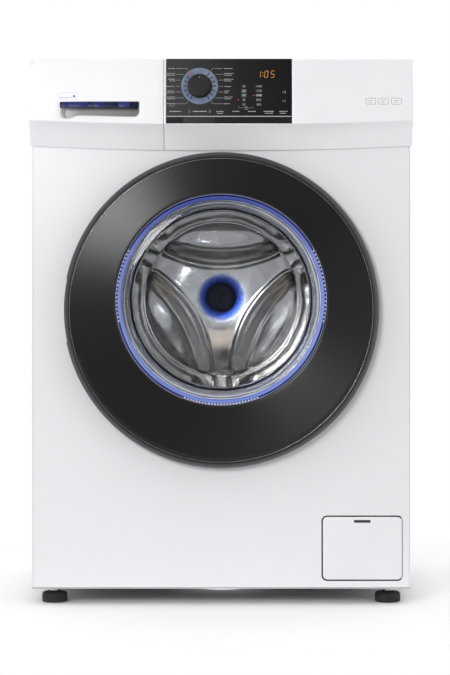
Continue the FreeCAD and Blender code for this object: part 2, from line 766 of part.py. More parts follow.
plate = rod((0, drum_rear, port_z), drum, steel, "y")
outer_balls = []
inner_balls = []
for degrees in LOBES:
    x, z = polar(dish_reach, degrees)
    centre = (x, D["drum_rear"].value - (sphere_radius - dish_depth), z)
    inner_balls.append(ball(centre, sphere_radius))
    outer_balls.append(ball(centre, sphere_radius + 1.2))
behind = block((-250, drum_rear, 200), (250, drum_rear + 40, 760))
dishes = common(fuse(*outer_balls), behind)
node("drum_back", cut(fuse(plate, dishes), *inner_balls))


def turn_about_axis(item, degrees):
    """Turn a piece drawn at the drum's three o'clock to its clock position."""
    centre = FreeCAD.Vector(0, 0, port_z.value)
    spin = FreeCAD.Rotation(FreeCAD.Vector(0, -1, 0), degrees)
    item.Placement = FreeCAD.Placement(FreeCAD.Vector(), spin, centre)
    return item


def lifter(degrees):
    """A wedge-shaped paddle that stands on the drum's wall."""
    body = new_body()
    base = D["drum_radius"].value - 2.4
    z = port_z.value
    corners = ((base - 1.8, z - 30), (base - 44, z - 9), (base - 47, z), (base - 44, z + 9),
               (base - 1.8, z + 30))
    pad(body, "XZ_Plane", corners, -132, 98)
    return turn_about_axis(body, degrees)


node("drum_lifters", group(*[lifter(degrees) for degrees in ARMS]))


def spider_arm(degrees):
    body = new_body()
    z = port_z.value
    corners = ((0, z - 18), (228, z - 11), (228, z + 11), (0, z + 18))
    pad(body, "XZ_Plane", corners, 106.4, 120)
    return turn_about_axis(body, degrees)


shaft = rod((0, 120, port_z), D["shaft_radius"], 70, "y")
spider_hub = rod((0, 106.4, port_z), 34, 22, "y")
node("drum_spider", fuse(spider_hub, shaft, *[spider_arm(degrees) for degrees in ARMS]))

# belt pulley: rim, hub and six spokes
pulley_low = D["pulley_front"]
pulley_high = pulley_low + D["pulley_width"]
wheel = D["pulley_radius"]
pulley_rim = ring(wheel, wheel - 8, pulley_low, pulley_high, port_z)
pulley_hub = rod((0, pulley_low - 1, port_z), 22, 19, "y")
spokes = []
for spoke in range(6):
    arm = block((18, pulley_low + 5, port_z - 7), (wheel - 6, pulley_low + 10, port_z + 7))
    spokes.append(turn_about_axis(group(arm), 60 * spoke + 15))
nut = rod((0, 190, port_z), 16, 8, "y")
pulley_bore = rod((0, 165, port_z), D["shaft_radius"], 25, "y")
node("drum_pulley", cut(fuse(pulley_rim, pulley_hub, *spokes, nut), pulley_bore))


# ---------------------------------------------------------------- motor and belt

motor_x = D["motor_x"]
motor_z = D["motor_z"]
can = D["motor_radius"]
can_corners = (
    (8.4, -12), (can, -12), (can, 120), (8.4, 120), (8.4, 115), (38, 115), (38, -7), (8.4, -7),
)
motor_can = turned(can_corners, motor_z, motor_x)
cradle = block((-62, 10, 180), (2, 100, 225))
cradle_trim = rod((0, 0, port_z), radius + shell + 0.3, 120, "y")
inside_can = rod((motor_x, 0, motor_z), 50, 110, "y")
node("drive_motor", fuse(motor_can, cut(cradle, cradle_trim, inside_can)))

rotor_core = rod((motor_x, -2, motor_z), 36, 112, "y")
rotor_shaft = rod((motor_x, -10, motor_z), 8, 200, "y")
rotor_pulley = rod((motor_x, pulley_low, motor_z), D["motor_pulley"], D["pulley_width"], "y")
node("motor_rotor", fuse(rotor_core, rotor_shaft, rotor_pulley))


def belt_loop(slack, low, high):
    """The solid inside a loop round both pulleys, standing off them by the slack."""
    big = D["pulley_radius"].value + slack
    small = D["motor_pulley"].value + slack
    top = FreeCAD.Vector(0, low, port_z.value)
    bottom = FreeCAD.Vector(motor_x.value, low, motor_z.value)
    along = bottom - top
    spread = math.acos((big - small) / along.Length)
    heading = math.atan2(along.z, along.x)

    def on(centre, size, angle):
        return centre + FreeCAD.Vector(size * math.cos(angle), 0, size * math.sin(angle))

    one, two = heading + spread, heading - spread
    edges = [
        Part.LineSegment(on(top, big, two), on(bottom, small, two)).toShape(),
        Part.Arc(on(bottom, small, two), on(bottom, small, heading), on(bottom, small, one)).toShape(),
        Part.LineSegment(on(bottom, small, one), on(top, big, one)).toShape(),
        Part.Arc(on(top, big, one), on(top, big, heading + math.pi), on(top, big, two)).toShape(),
    ]
    return Part.Face(Part.Wire(edges)).extrude(FreeCAD.Vector(0, high - low, 0))


belt_low = D["pulley_front"].value + 2
belt_high = belt_low + 12
node("drive_belt", solid(belt_loop(3.6, belt_low, belt_high).cut(
    belt_loop(0.4, belt_low - 1, belt_high + 1))))


# ---------------------------------------------------------------- suspension

def both_sides(make):
    return group(make(-1), make(1))


def spring(side):
    x = side * D["spring_x"].value
    length = D["spring_high"] - D["spring_low"] - 0.6
    outer = rod((x, D["spring_y"], D["spring_low"] + 0.3), 9, length)
    return cut(outer, rod((x, D["spring_y"], 600), 6, 200))


def damper_tube(side):
    x = side * D["damper_x"].value
    outer = rod((x, D["damper_y"], pan_top), 14, 120)
    return cut(outer, rod((x, D["damper_y"], pan_top + 30), 7, 110))


def damper_rod(side):
    x = side * D["damper_x"].value
    return rod((x, D["damper_y"], 90), 6, 256 - 90)


node("suspension_springs", both_sides(spring))
node("damper_cylinders", both_sides(damper_tube))
node("damper_rods", both_sides(damper_rod))
hose_outer = rod((spout_x, spout_y, 668), 21, 52)
node("dispenser_hose", cut(hose_outer, rod((spout_x, spout_y, 660), 18, 70)))


# ---------------------------------------------------------------- drain pump and service flap

pump_x = D["pump_x"]
pump_z = D["pump_z"]
chamber = D["pump_radius"]
pump_corners = (
    (29, -195), (chamber, -195), (chamber, -108), (28, -108), (28, -40), (3, -40), (3, -44),
    (24, -44), (24, -86), (3, -86), (3, -90), (25, -90), (25, -108), (10, -108), (10, -112), (29, -112),
)
pump_case = turned(pump_corners, pump_z, pump_x)
suction = rod((182, sump_y, pump_z), 15.5, 12, "x")
suction_bore = rod((180, sump_y, pump_z), 12, 20, "x")
outlet_y = -150
outlet_z = 96
outlet = rod((248, outlet_y, outlet_z), 9, 14, "x")
outlet_bore = rod((245, outlet_y, outlet_z), 6.5, 20, "x")
chamber_space = rod((pump_x, -194, pump_z), 29, 80, "y")
stubs = cut(fuse(suction, outlet), chamber_space)
node("drain_pump", cut(fuse(pump_case, stubs), suction_bore, outlet_bore))

blades = [block((pump_x - 20, -106, pump_z - 1.5), (pump_x + 20, -94, pump_z + 1.5)),
          block((pump_x - 1.5, -106, pump_z - 20), (pump_x + 1.5, -94, pump_z + 20))]
impeller_shaft = rod((pump_x, -106, pump_z), 2.5, 60, "y")
magnet = rod((pump_x, -82, pump_z), 15, 34, "y")
node("pump_impeller", fuse(rod((pump_x, -106, pump_z), 7, 12, "y"), impeller_shaft, magnet, *blades))

filter_cap = rod((pump_x, -204, pump_z), 30, 8.6, "y")
filter_bar = block((pump_x - 24, -209, pump_z - 4), (pump_x + 24, -203, pump_z + 4))
basket = cut(rod((pump_x, -196, pump_z), 27, 76, "y"), rod((pump_x, -192, pump_z), 24, 80, "y"),
             block((pump_x - 40, -180, pump_z - 8), (pump_x + 40, -130, pump_z + 8)))
node("pump_filter", fuse(filter_cap, filter_bar, basket))

recess_low = (D["flap_left"] + 4, front + 2.5, D["flap_low"] + 4)
recess_high = (D["flap_right"] - 4.5, front + 17, D["flap_high"] - 4)
recess_outer = block(recess_low, recess_high)
recess_inner = block((recess_low[0] + 2, front + 1, recess_low[2] + 2),
                     (recess_high[0] - 2, front + 15, recess_high[2] - 2))
recess_hole = rod((pump_x, front, pump_z), 33, 30, "y")
node("filter_recess", cut(recess_outer, recess_inner, recess_hole))

flap_plate = rounded_slab((flap_low[0], front, flap_low[2]),
                          (flap_high[0], front + 2, flap_high[2]), 7)
finger_slot = rounded_slab((207, front - 1, 127.2), (233.4, front + 4, 131.6), 2.1)
socket_depth = 10
pin_z = D["flap_low"] + 3.2
pin_sockets = [rod((start, front + 1, pin_z), 0.6, socket_depth, "x")
               for start in (flap_low[0], flap_high[0] - socket_depth)]
node("filter_flap", cut(flap_plate, finger_slot, *pin_sockets))

sump_route = ((sump_x, sump_y, 201), (sump_x, sump_y, pump_z.value), (182, sump_y, pump_z.value))
node("sump_hose", hollow_pipe(sump_route, 15.5, 12.5, (34,)))
hose_end = 248
drain_route = (
    (262, outlet_y, outlet_z), (281, outlet_y, outlet_z), (281, outlet_y, drain_z),
    (drain_x, 60, drain_z), (drain_x, hose_end, drain_z),
)
hose_bore = 7.5
spigot_length = 10
spigot_front = hose_end - spigot_length
spigot = cut(rod((drain_x, spigot_front, drain_z), 10.5, spigot_length, "y"),
             rod((drain_x, spigot_front - 1, drain_z), hose_bore + 0.5, spigot_length + 2, "y"))
node("drain_hose", fuse(hollow_pipe(drain_route, 10, hose_bore, (17, 40, 200)), spigot))

gland_flange = rod((gland_x, rear, gland_z), 14, 4, "y")
gland_barrel = rod((gland_x, rear - 22, gland_z), 9, 32, "y")
filter_box = block((gland_x - 35, rear - 50, gland_z - 18), (gland_x + 35, rear - 22, gland_z + 18))
node("mains_inlet", cut(fuse(gland_flange, gland_barrel, filter_box),
                        rod((gland_x, rear - 12, gland_z), 4, 40, "y")))


# ---------------------------------------------------------------- check and write

doc.recompute()
faults = []
for item in doc.Objects:
    if "Invalid" in item.State or "Error" in item.State:
        faults.append("{} ({})".format(item.Label, item.State))
for item in nodes:
    if item.Shape.isNull() or not item.Shape.isValid() or item.Shape.Volume <= 0:
        faults.append("{} has a bad shape".format(item.Label))
if faults:
    raise RuntimeError("; ".join(faults))

os.makedirs("parts", exist_ok=True)
for item in nodes:
    item.Shape.exportStep("parts/{}.step".format(item.Label))
    print("{:22s} solids {:2d}  volume {:12.0f} mm3".format(
        item.Label, len(item.Shape.Solids), item.Shape.Volume))
print(len(nodes), "nodes")
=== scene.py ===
import json
import math
import random

import bmesh
import bpy
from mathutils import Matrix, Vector


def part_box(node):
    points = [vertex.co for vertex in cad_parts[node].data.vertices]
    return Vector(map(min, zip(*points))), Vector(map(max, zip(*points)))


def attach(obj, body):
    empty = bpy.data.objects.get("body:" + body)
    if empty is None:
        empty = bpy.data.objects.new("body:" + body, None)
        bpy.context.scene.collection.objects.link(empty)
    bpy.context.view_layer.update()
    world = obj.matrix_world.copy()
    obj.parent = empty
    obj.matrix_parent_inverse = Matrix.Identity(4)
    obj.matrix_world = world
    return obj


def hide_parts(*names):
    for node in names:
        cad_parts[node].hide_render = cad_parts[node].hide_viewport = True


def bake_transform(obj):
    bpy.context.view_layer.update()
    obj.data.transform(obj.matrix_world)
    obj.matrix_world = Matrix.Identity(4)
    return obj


# A front-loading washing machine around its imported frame. Shapes are worked out in millimetres in
# the frame's own axes (+Z up, the door faces -Y) and turned into metres when a piece is added.

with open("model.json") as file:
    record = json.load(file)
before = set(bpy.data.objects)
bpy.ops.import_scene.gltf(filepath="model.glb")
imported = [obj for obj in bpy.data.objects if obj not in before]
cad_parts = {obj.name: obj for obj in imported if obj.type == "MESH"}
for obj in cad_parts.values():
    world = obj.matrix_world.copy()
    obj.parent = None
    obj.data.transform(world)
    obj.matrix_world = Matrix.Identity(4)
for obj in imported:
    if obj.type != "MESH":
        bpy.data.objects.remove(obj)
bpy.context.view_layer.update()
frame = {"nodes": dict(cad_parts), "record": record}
random.seed(7)

MM = 0.001
NODES = frame["nodes"]
SLOT_OF = {part["node"]: part["material_slot"] for part in frame["record"]["subparts"]}


class Box:
    """A CAD node's box in millimetres."""

    def __init__(self, node):
        low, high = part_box(node)
        self.x0, self.y0, self.z0 = (value / MM for value in low)
        self.x1, self.y1, self.z1 = (value / MM for value in high)
        self.cx = (self.x0 + self.x1) / 2
        self.cy = (self.y0 + self.y1) / 2
        self.cz = (self.z0 + self.z1) / 2


# ---------------------------------------------------------------- places read from the frame

DRUM = Box("drum_shell")
DOOR = Box("door_outer_ring")
LIGHT_RING = Box("door_light_ring")
BOWL = Box("door_glass")
FASCIA = Box("control_fascia")
DRAWER = Box("drawer_front")
WINDOW = Box("control_window")
DIAL = Box("dial_light_ring")
FLAP = Box("filter_flap")
TOP = Box("worktop")
REAR = Box("rear_panel")

AXIS_Z = DRUM.cz
DRUM_R = DRUM.x1
PORT_R = LIGHT_RING.x1
DOOR_R = DOOR.x1

# The fascia's section: a face that leans back over a bowed crease, and a hollow flank under it.
FACE_TOP_Y = -232.0
FACE_TOP_Z = 849.0
CREASE_Y = -244.0
CREASE_MID_Z = 747.2
CREASE_RISE = 6.2
FOOT_Y = -217.0
FOOT_MID_Z = 707.7
FOOT_RISE = 7.3
BACK_Y = -214.5
SKIN = 3.0
LEAN = (FACE_TOP_Y - CREASE_Y) / (FACE_TOP_Z - CREASE_MID_Z)


def bow(x, middle, rise):
    """Height of a line that is lowest at the middle of the front and rises to both sides."""
    return middle + rise * (x / FASCIA.x1) ** 2


def face_y(z):
    """Depth of the leaning fascia face at a height."""
    return FACE_TOP_Y - LEAN * (FACE_TOP_Z - z)


# ---------------------------------------------------------------- materials

def node(tree, kind, feeds=(), **values):
    """Adds a shader node, sets sockets by name and links (socket, source) pairs into it."""
    item = tree.nodes.new("ShaderNode" + kind)
    for socket, value in values.items():
        item.inputs[socket.replace("_", " ")].default_value = value
    for socket, source in feeds:
        tree.links.new(source, item.inputs[socket])
    return item


def object_coordinates(tree):
    place = node(tree, "TexCoord")
    return node(tree, "Mapping", [("Vector", place.outputs["Object"])]).outputs["Vector"]


def noise(tree, vector, scale, detail=3.0):
    return node(tree, "TexNoise", [("Vector", vector)], Scale=scale, Detail=detail,
                Roughness=0.5).outputs["Fac"]


def ramp(tree, factor, stops):
    item = node(tree, "ValToRGB", [("Fac", factor)])
    marks = item.color_ramp.elements
    while len(marks) < len(stops):
        marks.new(0.5)
    for mark, (at, colour) in zip(marks, stops):
        mark.position = at
        mark.color = (*colour, 1)
    return item.outputs["Color"]


def spread(tree, factor, low, high, start=0.3, end=0.7):
    return node(tree, "MapRange", [("Value", factor)], From_Min=start, From_Max=end, To_Min=low,
                To_Max=high).outputs["Result"]


def bump(tree, height, strength, distance):
    return node(tree, "Bump", [("Height", height)], Strength=strength,
                Distance=distance).outputs["Normal"]


def mix_into(tree, factor, first, second, output):
    """Mixes two shaders by a factor into a material's or the world's output."""
    mix = node(tree, "MixShader", [(0, factor), (1, first.outputs[0]), (2, second.outputs[0])])
    tree.links.new(mix.outputs[0], tree.nodes[output].inputs["Surface"])


def surface(name, dark, light, scale=30, rough=(0.3, 0.4), grain=(900, 0.1, 0.0001),
            stops=(0.35, 0.65), **sockets):
    """A Principled material whose colour, roughness and relief all vary over the surface."""
    material = bpy.data.materials.new(name)
    material.use_nodes = True
    tree = material.node_tree
    shader = tree.nodes["Principled BSDF"]
    where = object_coordinates(tree)
    cloud = noise(tree, where, scale)
    fine = noise(tree, where, grain[0], 4.0)
    colour = ramp(tree, cloud, ((stops[0], dark), (stops[1], light)))
    tree.links.new(colour, shader.inputs["Base Color"])
    tree.links.new(spread(tree, fine, *rough), shader.inputs["Roughness"])
    tree.links.new(bump(tree, fine, grain[1], grain[2]), shader.inputs["Normal"])
    for socket, value in sockets.items():
        shader.inputs[socket.replace("_", " ")].default_value = value
    return material


def clear(name, tint, rough, ior, grain=(40, 0.05, 0.0002)):
    """Clear plastic or glass that lets lamps through to what lies behind it."""
    material = surface(name, tint, tint, rough=rough, grain=grain, Transmission_Weight=1.0, IOR=ior)
    tree = material.node_tree
    mix_into(tree, node(tree, "LightPath").outputs["Is Shadow Ray"], tree.nodes["Principled BSDF"],
             node(tree, "BsdfTransparent"), "Material Output")
    return material


def grey(value, blue=0.0):
    return (value, value, value + blue)


# One finish for each of the record's material slots: dark and light colour, size of the clouds,
# roughness from and to, grain as (scale, strength, depth), and sockets of the shader.
FINISHES = {
    "white_enamel": (grey(0.81, 0.028), grey(0.825, 0.028), 6, (0.24, 0.28), (700, 0.06, 0.00008),
                     dict(Coat_Weight=0.3, Coat_Roughness=0.12)),
    "white_plastic": (grey(0.80, 0.028), grey(0.835, 0.028), 9, (0.26, 0.36), (1500, 0.08, 0.00006)),
    "worktop_laminate": (grey(0.74), grey(0.82), 380, (0.4, 0.55), (1100, 0.3, 0.00012)),
    "galvanised": ((0.50, 0.52, 0.54), (0.60, 0.62, 0.64), 110, (0.34, 0.46), (260, 0.06, 0.0002),
                   dict(stops=(0.3, 0.7), Metallic=0.7)),
    "grey_plastic": (grey(0.42, 0.01), grey(0.48, 0.01), 25, (0.4, 0.52), (1200, 0.2, 0.0001)),
    "foot_rubber": (grey(0.012), grey(0.025), 120, (0.6, 0.8), (800, 0.4, 0.0002)),
    "black_gloss": (grey(0.006), grey(0.012, 0.001), 12, (0.06, 0.12), (300, 0.03, 0.00005),
                    dict(Specular_IOR_Level=0.4)),
    "door_black": (grey(0.007), grey(0.011), 14, (0.32, 0.38), (1400, 0.08, 0.00004),
                   dict(Specular_IOR_Level=0.35)),
    "dial_ring": ((0.10, 0.135, 0.22), (0.15, 0.19, 0.28), 60, (0.4, 0.5), (900, 0.1, 0.00005)),
    "blue_translucent": ((0.12, 0.19, 0.62), (0.3, 0.38, 0.82), 35, (0.15, 0.25), (500, 0.1, 0.0001),
                         dict(Transmission_Weight=0.35, Emission_Color=(0.1, 0.2, 1.0, 1),
                              Emission_Strength=0.12)),
    "blue_tint": ((0.003, 0.006, 0.05), (0.01, 0.025, 0.2), 90, (0.15, 0.22), (500, 0.05, 0.0001)),
    "gasket_rubber": (grey(0.16, 0.01), grey(0.22, 0.01), 50, (0.5, 0.65), (700, 0.25, 0.0002)),
    "hose_rubber": (grey(0.012), grey(0.022), 70, (0.5, 0.7), (600, 0.3, 0.0002)),
    "belt_rubber": (grey(0.01), grey(0.018), 90, (0.6, 0.75), (500, 0.4, 0.0002)),
    "stainless": ((0.62, 0.61, 0.60), (0.80, 0.79, 0.78), 14, (0.13, 0.24), (420, 0.05, 0.0001),
                  dict(Metallic=1.0)),
    "tub_plastic": (grey(0.24, 0.01), grey(0.31, 0.01), 45, (0.5, 0.62), (900, 0.3, 0.0002)),
    "concrete": ((0.22, 0.215, 0.205), (0.42, 0.41, 0.39), 90, (0.8, 0.95), (500, 0.7, 0.001)),
    "cast_aluminium": (grey(0.42), grey(0.58), 80, (0.35, 0.5), (700, 0.5, 0.0003),
                       dict(Metallic=0.9)),
    "bright_steel": (grey(0.48), grey(0.66), 120, (0.22, 0.36), (900, 0.12, 0.0001),
                     dict(Metallic=1.0)),
    "black_plastic": (grey(0.012), grey(0.02), 60, (0.4, 0.55), (1100, 0.25, 0.0001)),
    "pump_plastic": (grey(0.52), grey(0.6), 40, (0.4, 0.5), (900, 0.2, 0.0001)),
    "filter_blue": ((0.02, 0.05, 0.2), (0.035, 0.08, 0.28), 50, (0.35, 0.45), (900, 0.2, 0.0001)),
    "circuit_board": ((0.01, 0.08, 0.03), (0.02, 0.14, 0.06), 300, (0.3, 0.45), (500, 0.2, 0.0001)),
}

FINISH = {slot: surface(slot, *row[:5], **(row[5] if len(row) > 5 else {}))
          for slot, row in FINISHES.items()}
FINISH["clear_window"] = clear("clear_window", (0.97, 0.98, 1.0), (0.0, 0.02), 1.3,
                               (25, 0.02, 0.0002))
FINISH["glass"] = clear("glass", (0.96, 0.98, 1.0), (0.0, 0.03), 1.47, (30, 0.06, 0.0006))

for label, cad_object in NODES.items():
    for material_slot in cad_object.material_slots:
        material_slot.material = FINISH[SLOT_OF[label]]


# ---------------------------------------------------------------- mesh helpers, in millimetres

def rings(bm, loops, closed=False, caps=False):
    """Quads between closed loops of equal length; closed joins the last to the first."""
    made = [[bm.verts.new(point) for point in loop] for loop in loops]
    count = len(made[0])
    pairs = list(zip(made, made[1:]))
    if closed:
        pairs.append((made[-1], made[0]))
    for first, second in pairs:
        for i in range(count):
            j = (i + 1) % count
            bm.faces.new((first[i], first[j], second[j], second[i]))
    if caps:
        bm.faces.new(made[0])
        bm.faces.new(made[-1])
    return made


def circle(radius, y, count, cx=0.0, cz=AXIS_Z, start=0.0):
    """Points of a circle about an axis along Y, from an angle in degrees."""
    angles = [math.radians(start) + i * 2 * math.pi / count for i in range(count)]
    return [(cx + radius * math.cos(angle), y, cz + radius * math.sin(angle)) for angle in angles]


def lathe(bm, profile, count=192, cx=0.0, cz=AXIS_Z, closed=True, wave=None):
    """A profile of (radius, y) turned about an axis along Y; wave(angle, radius, y) swells it."""
    loops = []
    for radius, y in profile:
        loop = []
        for i in range(count):
            angle = 2 * math.pi * i / count
            reach = max(radius + (wave(angle, radius, y) if wave else 0.0), 0.0)
            loop.append((cx + reach * math.cos(angle), y, cz + reach * math.sin(angle)))
        loops.append(loop)
    rings(bm, loops, closed=closed)


def box(bm, low, high):
    """A closed box between two corners."""
    (x0, y0, z0), (x1, y1, z1) = low, high
    rings(bm, [[(x0, y0, z0), (x1, y0, z0), (x1, y1, z0), (x0, y1, z0)],
               [(x0, y0, z1), (x1, y0, z1), (x1, y1, z1), (x0, y1, z1)]], caps=True)


def plate(bm, outline, near, far):
    """A closed plate over an outline of (x, z); near and far are depths, or depths at a height."""
    rings(bm, [[(x, side(z) if callable(side) else side, z) for x, z in outline]
               for side in (near, far)], caps=True)


def corner_arc(cx, cz, radius, start, steps):
    """Points of a quarter circle that starts at an angle in degrees."""
    angles = [math.radians(start + 90 * i / steps) for i in range(steps + 1)]
    return [(cx + radius * math.cos(angle), cz + radius * math.sin(angle)) for angle in angles]


def rounded(x0, z0, x1, z1, radius, steps=6):
    """Outline of a rectangle with rounded corners."""
    return (corner_arc(x1 - radius, z1 - radius, radius, 0, steps)
            + corner_arc(x0 + radius, z1 - radius, radius, 90, steps)
            + corner_arc(x0 + radius, z0 + radius, radius, 180, steps)
            + corner_arc(x1 - radius, z0 + radius, radius, 270, steps))


def offset(radius, y, steps):
    """A profile of (radius, y) points, given as steps from one corner."""
    return [(radius + out, y + back) for out, back in steps]


def tube(bm, path, radius, count=16):
    """A round tube along a list of points; radius is a number or a function of the share done."""
    points = [Vector(point) for point in path]
    loops = []
    side = None
    for i, point in enumerate(points):
        before, after = points[max(i - 1, 0)], points[min(i + 1, len(points) - 1)]
        along = (after - before).normalized()
        if side is None:
            side = along.orthogonal().normalized()
        side = (side - along * side.dot(along)).normalized()
        other = along.cross(side)
        reach = radius(i / (len(points) - 1)) if callable(radius) else radius
        loops.append([point + side * reach * math.cos(2 * math.pi * k / count)
                      + other * reach * math.sin(2 * math.pi * k / count) for k in range(count)])
    rings(bm, loops, caps=True)


def screw(bm, x, z, y):
    """A pan head with a cross recess that faces the rear."""
    head = 4.2

    def recess(angle, radius, depth):
        return -0.12 * radius * math.cos(4 * angle) if 0 < radius < head * 0.9 else 0.0

    profile = offset(0.0, y, ((0.0, 0.0), (head, 0.0), (head * 0.92, 1.2), (head * 0.55, 1.9),
                              (0.0, 1.2)))
    lathe(bm, profile, 16, x, z, False, recess)


def add_piece(name, body, bm, finish, slot=None, replaces=(), sharp=32, bevel=0.0):
    """Makes a piece of a bmesh in millimetres; it rides on a body and may stand for CAD nodes."""
    bmesh.ops.remove_doubles(bm, verts=bm.verts, dist=0.001)
    bmesh.ops.dissolve_degenerate(bm, dist=0.0005, edges=bm.edges)
    bmesh.ops.recalc_face_normals(bm, faces=bm.faces)
    bmesh.ops.scale(bm, vec=(MM, MM, MM), verts=bm.verts)
    mesh = bpy.data.meshes.new(name)
    bm.to_mesh(mesh)
    bm.free()
    item = bpy.data.objects.new(name, mesh)
    bpy.context.scene.collection.objects.link(item)
    if bevel:
        soften(item, bevel)
    smooth(item, sharp)
    item.data.materials.append(FINISH[finish] if isinstance(finish, str) else finish)
    if body is not None:
        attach(item, body)
    if replaces:
        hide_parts(*replaces)
    return item


def piece(name, body, finish, *shapes, **options):
    """A piece drawn by (function, arguments) rows on one bmesh."""
    bm = bmesh.new()
    for draw, *values in shapes:
        draw(bm, *values)
    return add_piece(name, body, bm, finish, **options)


def turned(name, body, profile, finish, count=192, closed=True, wave=None, **options):
    """A piece made of one profile turned about the drum's axis."""
    return piece(name, body, finish, (lathe, profile, count, 0.0, AXIS_Z, closed, wave), **options)


def blended(item, node_name):
    """Bakes the placement of a piece that stands for a CAD node into its mesh, on no body, and hides
    the node.
    """
    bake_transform(item)
    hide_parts(node_name)


def apply_modifiers(item):
    """Keeps the result of a piece's modifiers as its mesh."""
    bpy.context.view_layer.update()
    seen = item.evaluated_get(bpy.context.evaluated_depsgraph_get())
    mesh = bpy.data.meshes.new_from_object(seen)
    old = item.data
    item.modifiers.clear()
    item.data = mesh
    bpy.data.meshes.remove(old)


def soften(item, width, segments=2, angle=40):
    """Rounds a piece's sharp edges; the width is in millimetres."""
    edge = item.modifiers.new("soften", "BEVEL")
    edge.width = width * MM
    edge.segments = segments
    edge.limit_method = "ANGLE"
    edge.angle_limit = math.radians(angle)
    edge.harden_normals = False
    apply_modifiers(item)


def carve(item, cutter_bm):
    """Cuts a bmesh in millimetres out of a piece."""
    cutter = add_piece("cutter", None, cutter_bm, "grey_plastic")
    hole = item.modifiers.new("hole", "BOOLEAN")
    hole.object = cutter
    hole.operation = "DIFFERENCE"
    hole.solver = "EXACT"
    apply_modifiers(item)
    bpy.data.objects.remove(cutter)


def smooth(item, angle=32):
    """Shades a piece smooth but for the edges sharper than an angle."""
    item.data.shade_smooth()
    item.data.set_sharp_from_angle(angle=math.radians(angle))


# ---------------------------------------------------------------- fascia and drawer front

def fascia_section(x):
    """Closed (y, z) outline of the fascia at one place along its width."""
    crease = bow(x, CREASE_MID_Z, CREASE_RISE)
    foot = bow(x, FOOT_MID_Z, FOOT_RISE)
    crease_y = face_y(crease)
    outer = [(FACE_TOP_Y + 2.5, FACE_TOP_Z), (FACE_TOP_Y + 0.9, FACE_TOP_Z - 0.3),
             (face_y(FACE_TOP_Z - 1.6), FACE_TOP_Z - 1.6)]
    for i in range(1, 8):
        z = FACE_TOP_Z - 1.6 + (crease + 2.0 - FACE_TOP_Z + 1.6) * i / 8
        outer.append((face_y(z), z))
    outer += [(face_y(crease + 2.0), crease + 2.0), (crease_y + 0.05, crease + 0.7),
              (crease_y + 0.45, crease - 0.5)]
    for i in range(1, 17):
        t = i / 16
        pull = (CREASE_Y + 22.0, crease - 14.0)
        y = (1 - t) ** 2 * crease_y + 2 * t * (1 - t) * pull[0] + t * t * FOOT_Y
        z = (1 - t) ** 2 * crease + 2 * t * (1 - t) * pull[1] + t * t * foot
        if i > 1:
            outer.append((y, z))
    return outer + [(BACK_Y, foot), (BACK_Y, (foot + FACE_TOP_Z) / 2), (BACK_Y, FACE_TOP_Z)]


def fascia_body(name, body, cad_node, steps, cutter, edge):
    """A length of the fascia in place of a CAD node, with a hollow cut out of it."""
    bm = bmesh.new()
    room = Box(cad_node)
    places = [room.x0 + (room.x1 - room.x0) * i / steps for i in range(steps + 1)]
    rings(bm, [[(x, y, z) for y, z in fascia_section(x)] for x in places], caps=True)
    item = add_piece(name, body, bm, "white_plastic", replaces=(cad_node,))
    carve(item, cutter)
    soften(item, *edge, 50)
    smooth(item)


POCKET_X0 = -250.0
POCKET_X1 = -127.4
POCKET_TOP = 782.0
POCKET_LOBE = 756.0
POCKET_FLOOR = 761.4
POCKET_BACK = -224.0


def ease(value):
    value = min(max(value, 0.0), 1.0)
    return value * value * (3 - 2 * value)


def pocket_outline(grow=0.0):
    """The finger pocket: straight top, a deep round lobe at the left, a shallow tail at the right."""
    left, right = POCKET_X0 - grow, POCKET_X1 + grow
    corner = 7.5 + grow
    steps = 40
    points = corner_arc(right - 2, POCKET_TOP + grow - 2, 2, 0, 6)
    points += corner_arc(left + 2, POCKET_TOP + grow - 2, 2, 90, 6)
    points += corner_arc(left + corner, POCKET_LOBE - grow + corner, corner, 180, 8)
    start = left + corner
    end = right - corner
    for i in range(1, steps):
        x = start + (end - start) * i / steps
        rise = (POCKET_FLOOR - POCKET_LOBE) * ease((x + 239.0) / 19.0)
        sag = 1.8 * ease((x + 225.0) / 100.0)
        points.append((x, POCKET_LOBE + rise - sag - grow))
    low = POCKET_FLOOR - 1.8 - grow
    return points + corner_arc(right - corner, low + corner, corner, 270, 8)


